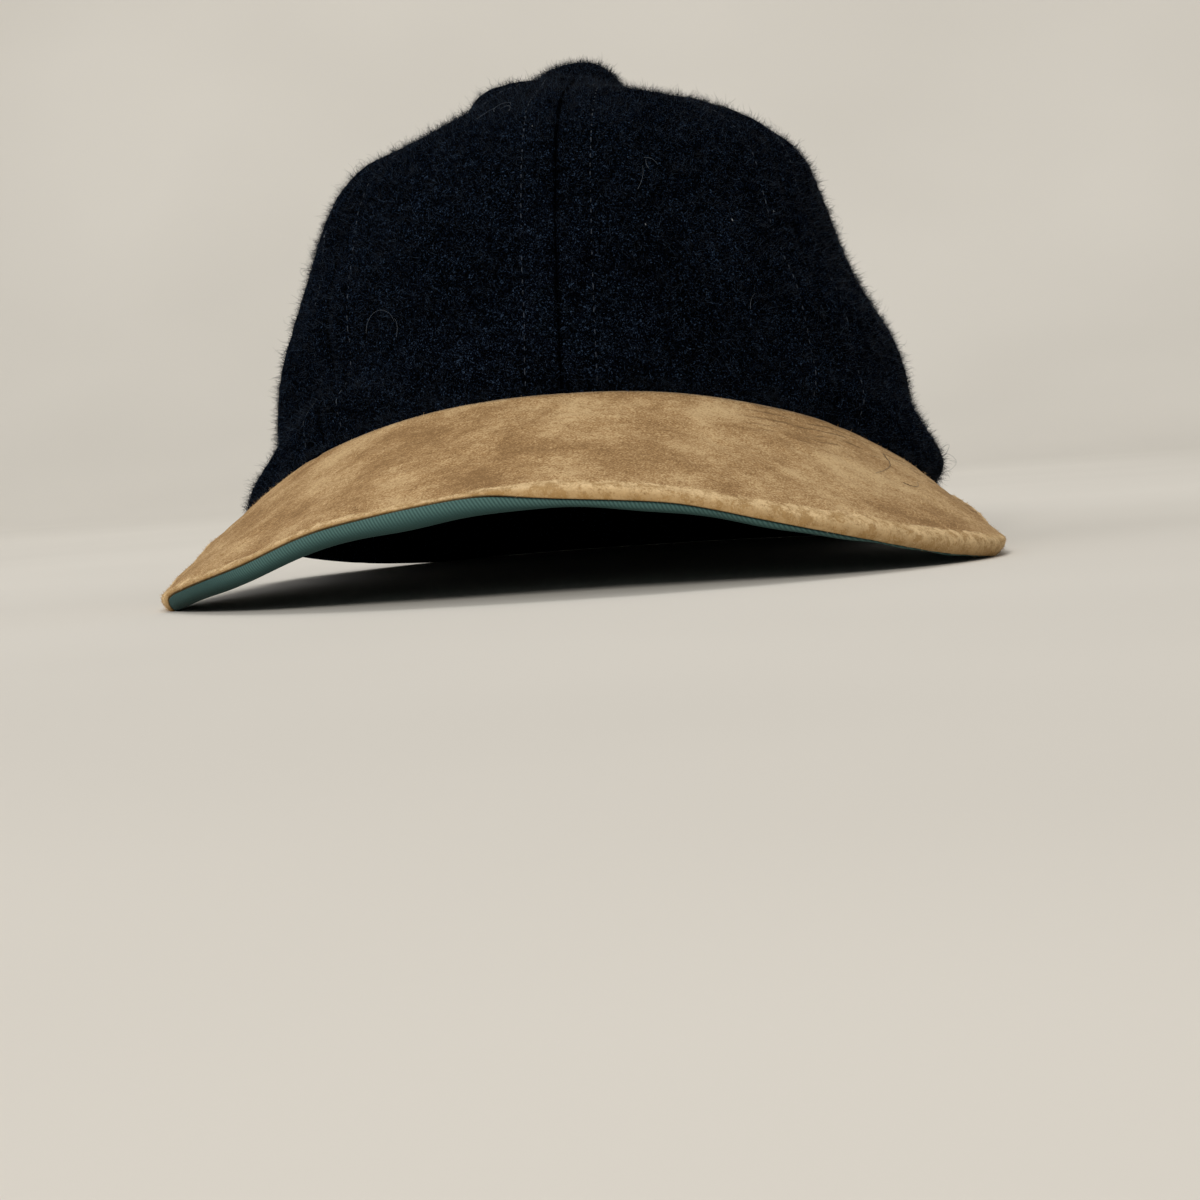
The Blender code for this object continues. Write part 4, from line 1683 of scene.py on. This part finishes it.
@dataclass
class Peak:
    """The peak: suede over its top and most of its nose, twill below."""

    crown: CrownShape
    half_width: float = 0.0905
    lean: float = 0.0020
    reach: float = 0.0700
    drop: float = 0.0360
    thickness: float = 0.0046
    end_angle: float = math.radians(79)
    seat_gap: float = 0.0001
    split_gap: float = 0.00005
    stations: int = 310
    rows: int = 52
    nose_steps: int = 16
    inner_rows: int = 8
    nose_spacing: float = 0.9
    suede_rise: float = 0.00018
    suede_full: float = 0.35
    edge_round: float = 0.00055
    groove: float = 0.00045
    calm_root: float = 0.003
    calm_edge: float = 0.0015
    calm_ends: float = 0.02
    shoulder_width: float = 0.0045
    unseen: float = 0.05
    top_relief: tuple[tuple[float, Ripple], ...] = (
        (0.00013, Ripple(0.018, 0.050, waves=12, seed=21)),
        (0.00009, Ripple(0.0030, 0.0080, seed=22)),
    )
    under_relief: tuple[tuple[float, Ripple], ...] = (
        (0.00015, Ripple(0.012, 0.040, waves=12, seed=23)),
    )
    hair_lift: float = 0.00018
    hair_radius: float = 0.00006
    hair_points: int = 40
    nap: Nap = Nap(5200, short=(0.0003, 0.0010), short_radius=0.00004, sink=0.00006)
    nap_on_nose: float = 0.8
    nap_rows_at_nose: int = 6
    nap_rows_at_root: int = 8
    nap_seed: int = 77

    def lines(self) -> PeakLines:
        """Works out the peak's seam with the crown, its edge and the frame between them.

        Every section starts on the crown's face, at the rim and one thickness above it, and runs
        straight to the edge. The flat lines unroll the seam: each step keeps its length and its
        direction from above.

        Returns:
            The lines.
        """
        crown = self.crown
        station = np.linspace(-1, 1, self.stations)
        angle = station * self.end_angle
        rim = crown.rim_height(angle)
        outwards = crown.normal(angle, np.full_like(angle, 0.02))
        outwards[:, 2] = 0
        outwards = unit(outwards)
        low = crown.body(angle, 0.0) + self.seat_gap * outwards
        high = crown.body(angle, crown.ring_at_height(angle, rim + self.thickness))
        high = high + self.seat_gap * outwards
        root = (low + high) / 2
        forward_share = EDGE.read("forward", station)
        across = self.half_width * EDGE.read("across", station)
        across = across + self.lean * np.clip(1 + forward_share, 0, 1)
        height = crown.rim_arch + self.thickness / 2 - self.drop * EDGE.read("fall", station)
        edge = np.stack([across, -crown.front_reach - self.reach * forward_share, height], axis=-1)
        forward = unit(edge - root)
        along = np.gradient((root + edge) / 2, axis=0)
        up = unit(np.cross(along, forward))
        up *= np.sign(up[:, 2:3])
        seam = np.radians(EDGE_SEAM.read("angle", station))
        steps = np.diff(root, axis=0)
        plan = unit(steps[:, :2]) * np.linalg.norm(steps, axis=-1, keepdims=True)
        flat_root = np.concatenate([[[0.0, 0.0]], np.cumsum(plan, axis=0)])
        flat_root -= flat_root[len(flat_root) // 2]
        flat_forward = unit(forward[:, :2])
        return PeakLines(
            station, low, high, root, edge, forward, up, seam, flat_root, flat_forward
        )

    def layer(self, side: Side) -> tuple[Surface, dict[str, Array], Array]:
        """One half of the peak's thickness, closed, with the flat place of each point.

        A section runs from the crown to the shoulder, round its part of the half-circle nose to the
        edge seam, and back along the middle. The suede's last bit rounds in, as a turned edge does,
        and its face is a little uneven.

        Args:
            side: The suede's or the twill's side.

        Returns:
            The body, its attributes, and its face's points by station and row.
        """
        line = self.lines()
        half, sign = self.thickness / 2, side.value
        face = line.high if side is Side.TOP else line.low
        centre = line.edge - half * line.forward
        shoulder = centre + sign * half * line.up
        share = np.linspace(0, 1, self.rows)[None, :, None]
        top = face[:, None] + (shoulder - face)[:, None] * share
        end = line.seam + sign * self.split_gap / half
        round_share = np.linspace(0, 1, self.nose_steps + 1)[1:] ** self.nose_spacing
        turn = sign * math.pi / 2 + (end - sign * math.pi / 2)[:, None] * round_share[None]
        left = np.abs(turn - end[:, None]) * half
        inside = np.clip(1 - left / self.edge_round, 0, 1)
        proud = -self.groove * (1 - np.sqrt(1 - inside**2))
        if side is Side.TOP:
            full = smooth(np.linspace(0, 1, self.nose_steps), 0, self.suede_full)[None]
            proud = proud + self.suede_rise * full
        nose = centre[:, None] + (half + proud)[..., None] * (
            np.cos(turn)[..., None] * line.forward[:, None]
            + np.sin(turn)[..., None] * line.up[:, None]
        )
        shell = np.concatenate([top, nose], axis=1)
        run = run_along(shell)
        normals = unit(np.cross(np.gradient(shell, axis=0), np.gradient(shell, axis=1)))
        facing = np.sum(normals[:, 4:5] * line.up[:, None], axis=-1, keepdims=True)
        normals *= np.sign(facing) * sign
        flat = line.flat_root[:, None] + line.flat_forward[:, None] * run[..., None]
        calm = smooth(run, 0.0, self.calm_root) * smooth(run[:, -1:] - run, 0.0, self.calm_edge)
        ends = smooth(1 - np.abs(line.station), 0.0, self.calm_ends)[:, None]
        spots = np.concatenate([flat, np.zeros_like(run)[..., None]], axis=-1)
        relief = self.top_relief if side is Side.TOP else self.under_relief
        uneven = sum(rise * ripple.at(spots) for rise, ripple in relief)
        shell = shell + (uneven * calm * ends)[..., None] * normals
        inner = centre - half * line.forward + sign * self.split_gap * line.up
        back = line.root + sign * self.split_gap * line.up
        share = np.linspace(0, 1, self.inner_rows)[None, :, None]
        lining = inner[:, None] + (back - inner)[:, None] * share
        sections = np.concatenate([shell, lining], axis=1)
        # The hide's third value goes round the nose: 0 on top, 1 at the shoulder, 2 at the seam.
        from_shoulder = run[:, : self.rows] - run[:, self.rows - 1, None]
        hide = np.zeros((*sections.shape[:2], 3))
        hide[:, : flat.shape[1], :2] = flat
        hide[:, : self.rows, 2] = smooth(from_shoulder, -self.shoulder_width, 0.0)
        hide[:, self.rows : flat.shape[1], 2] = 1 + round_share
        verge, fold = np.full((2, *sections.shape[:2]), self.unseen)
        verge[:, : run.shape[1]] = run
        fold[:, : run.shape[1]] = run[:, -1:] - run
        values = {
            "hide": hide.reshape(-1, 3),
            "verge": verge.ravel(),
            "fold": fold.ravel(),
            "station": np.repeat(line.station, sections.shape[1]),
        }
        return loft(self.crown.placed(sections)), values, self.crown.placed(shell)

    def build(self, wardrobe: Wardrobe) -> None:
        """Makes the suede, the twill, the hairs that lie on the suede and its short nap.

        Args:
            wardrobe: The finishes.
        """
        shells = []
        for side, name, finish, slot, node in (
            (Side.TOP, "peak_suede", wardrobe.suede, Slot.SUEDE, "peak_top_suede"),
            (Side.UNDER, "peak_twill", wardrobe.twill, Slot.TWILL, "peak_underside_twill"),
        ):
            surface, values, shell = self.layer(side)
            piece = surface.to_piece(name, values)
            dress(piece, finish, [node])
            shells.append(shell)
        self.hairs(wardrobe, shells[0])
        self.fuzz(wardrobe, shells[0])

    def hairs(self, wardrobe: Wardrobe, top: Array) -> None:
        """Makes the dark hairs that have come off the crown and lie curled on the suede.

        Each runs from one place to another and bows between them along half a sine. Its points are
        read off the suede's face between the four nearest grid points.

        Args:
            wardrobe: The finishes.
            top: The suede's face by station and row.
        """
        share = np.linspace(0, 1, self.hair_points)
        arch = np.sin(math.pi * share)
        made = []
        for row in SUEDE_HAIRS.each():
            station = row["station"] + (row["to_station"] - row["station"]) * share
            outwards = row["share"] + (row["to_share"] - row["share"]) * share
            i = (station + row["bow"] * arch + 1) / 2 * (self.stations - 1)
            j = (outwards + row["sag"] * arch) * (self.rows - 1)
            column, line = np.floor(i).astype(int), np.floor(j).astype(int)
            u, v = (i - column)[:, None], (j - line)[:, None]
            path = in_cells(top, column, line, u, v) + [0.0, 0.0, self.hair_lift]
            made.append(tube(path, self.hair_radius * (1 - 0.5 * share)))
        strew(together(made), "hairs_on_suede", 0.0, wardrobe.hair)

    def fuzz(self, wardrobe: Wardrobe, top: Array) -> None:
        """Makes the short nap that shows along the suede's edges.

        Args:
            wardrobe: The finishes.
            top: The suede's face by station and row.
        """
        rng = np.random.default_rng(self.nap_seed)
        count = self.nap.short_count
        column = rng.integers(1, self.stations - 1, count)
        band = rng.random(count) < self.nap_on_nose
        at_nose = rng.integers(self.rows - self.nap_rows_at_nose, top.shape[1] - 2, count)
        row = np.where(band, at_nose, rng.integers(1, self.nap_rows_at_root, count))
        along = unit(top[column + 1, row] - top[column - 1, row])
        normal = unit(np.cross(along, top[column, row + 1] - top[column, row - 1]))
        outwards = top[column, row] - top[column, row // 2]
        normal *= np.sign(np.sum(normal * (outwards + [0, 0, 0.02]), axis=-1, keepdims=True))
        blend = rng.random((count, 1))
        roots = top[column, row] * blend + top[column + 1, row] * (1 - blend)
        surface, tone = self.nap.grow(roots, normal, rng)
        strew(surface, "suede_fuzz", np.sqrt(tone), wardrobe.suede_nap)


# --- Studio ---


def link(name: str, data: bpy.types.ID, turn: Matrix = Matrix()) -> Piece:
    """Puts a mesh, a lamp or a camera into the scene.

    Args:
        name: The object's name.
        data: What it shows.
        turn: Its place and turn.

    Returns:
        The object.
    """
    made = bpy.data.objects.new(name, data)
    made.matrix_world = turn
    bpy.context.scene.collection.objects.link(made)
    return made


@dataclass(frozen=True)
class Softbox:
    """A square soft light, placed and aimed from the crown's axis."""

    name: str
    place: Point
    size: float
    power: float
    colour: str
    aim: Point = (0.0, 0.0, 0.06)

    def hang(self, axis: Vector) -> None:
        """Hangs the light.

        Args:
            axis: The foot of the crown's axis.
        """
        data = bpy.data.lights.new(self.name, "AREA")
        data.size, data.energy, data.color = self.size, self.power, linear(self.colour)[:3]
        spot, target = Vector(self.place) + axis, Vector(self.aim) + axis
        turn = (target - spot).to_track_quat("-Z", "Y").to_matrix().to_4x4()
        link(self.name, data, Matrix.Translation(spot) @ turn)


@dataclass
class Studio:
    """A pale sweep, soft lights and a camera where the photograph was taken from."""

    crown: CrownShape
    yaw: float = 6.0
    dip: float = 3.0
    roll: float = 4.0
    distance: float = 0.760
    aside: float = 0.0047
    above: float = 0.0093
    lens: float = 93.0
    sensor: float = 36.0
    clip: tuple[float, float] = (0.01, 20)
    sweep_width: float = 6.0
    sweep_front: float = -2.5
    sweep_back: float = 1.1
    sweep_radius: float = 0.7
    sweep_height: float = 2.8
    sweep_steps: int = 24
    air: str = "#f2f1ee"
    air_strength: float = 0.40
    lights: tuple[Softbox, ...] = (
        Softbox("front_softbox", (-0.35, -1.90, 1.05), 0.55, 24.3, "#fffaf2"),
        Softbox("left_softbox", (-0.95, -0.55, 0.60), 0.60, 1.6, "#f4f7ff"),
        Softbox("top_softbox", (0.10, 0.35, 1.30), 0.90, 1.8, "#ffffff"),
        Softbox("wall_softbox", (-0.2, 0.40, 1.80), 1.20, 16.2, "#fffdf8", (0.0, 1.80, 0.55)),
    )

    def camera(self) -> None:
        """Sets the camera, turned, dipped and rolled round the crown's axis and a little aside."""
        yaw, dip, roll = (math.radians(v) for v in (self.yaw, self.dip, self.roll))
        level = Vector((math.cos(yaw), math.sin(yaw), 0))
        ahead = Vector(
            (-math.sin(yaw) * math.cos(dip), math.cos(yaw) * math.cos(dip), -math.sin(dip))
        )
        upright = level.cross(ahead)
        right = math.cos(roll) * level - math.sin(roll) * upright
        up = math.cos(roll) * upright + math.sin(roll) * level
        place = -(self.aside * level + self.above * upright + self.distance * ahead)
        place += Vector((*self.crown.axis, 0))
        data = bpy.data.cameras.new("photo_camera")
        data.lens, data.sensor_width = self.lens, self.sensor
        data.clip_start, data.clip_end = self.clip
        turn = Matrix((right, up, -ahead)).transposed().to_4x4()
        camera = link("photo_camera", data, Matrix.Translation(place) @ turn)
        bpy.context.scene.camera = camera

    def sweep(self, finish: Material) -> None:
        """Makes the floor, which turns up into a wall along a quarter circle behind the cap.

        Args:
            finish: Its finish.
        """
        turn = np.linspace(0, math.pi / 2, self.sweep_steps)
        back = self.sweep_back + self.sweep_radius * np.sin(turn)
        y = np.concatenate([[self.sweep_front], back, back[-1:]])
        rise = self.sweep_radius * (1 - np.cos(turn))
        z = np.concatenate([[0.0], rise, [self.sweep_height]]) - FLOOR_CLEARANCE
        x = np.array([-0.5, 0.5])[:, None] * self.sweep_width
        grid = np.stack(np.broadcast_arrays(x, y, z), axis=-1)
        index = np.arange(2 * len(y)).reshape(2, -1)
        faces = np.stack([index[0, :-1], index[1, :-1], index[1, 1:], index[0, 1:]], axis=-1)
        mesh = bpy.data.meshes.new("studio_sweep")
        mesh.from_pydata(grid.reshape(-1, 3).tolist(), [], faces.tolist())
        mesh.shade_smooth()
        mesh.materials.append(finish)
        link("studio_sweep", mesh)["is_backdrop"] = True

    def build(self, wardrobe: Wardrobe) -> None:
        """Sets the sweep, the lights, the pale air round them and the camera.

        Args:
            wardrobe: The finishes.
        """
        self.sweep(wardrobe.sweep)
        for light in self.lights:
            light.hang(Vector((*self.crown.axis, 0)))
        world = bpy.data.worlds.new("studio_air")
        world.use_nodes = True
        background = world.node_tree.nodes["Background"]
        background.inputs["Color"].default_value = linear(self.air)
        background.inputs["Strength"].default_value = self.air_strength
        bpy.context.scene.world = world
        bpy.context.scene.view_settings.view_transform = "Standard"
        self.camera()


def corners() -> list[list[float]]:
    """Returns the shown object's lowest and highest corners as plain lists."""
    return [[float(value) for value in corner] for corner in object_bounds()]


def main() -> None:
    """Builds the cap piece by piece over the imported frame, and the studio round it."""
    logging.basicConfig(level=logging.INFO, format="%(name)s: %(message)s")
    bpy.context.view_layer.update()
    low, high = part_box("crown_button")
    crown = CrownShape(axis=((low.x + high.x) / 2, (low.y + high.y) / 2))
    wardrobe = Wardrobe.make()
    Studio(crown).build(wardrobe)
    names = ("back_right", "side_right", "front_right", "front_left", "side_left", "back_left")
    nap = Nap(short_count=16500, long_count=1800)
    for number, name in enumerate(names):
        CrownPanel(crown, name, number).build(wardrobe, nap)
    Stitching(crown).build(wardrobe)
    Button(crown).build(wardrobe, Nap(short_count=2600, long_count=220))
    Strays(crown).build(wardrobe)
    Peak(crown).build(wardrobe)


if __name__ == "__main__":
    main()
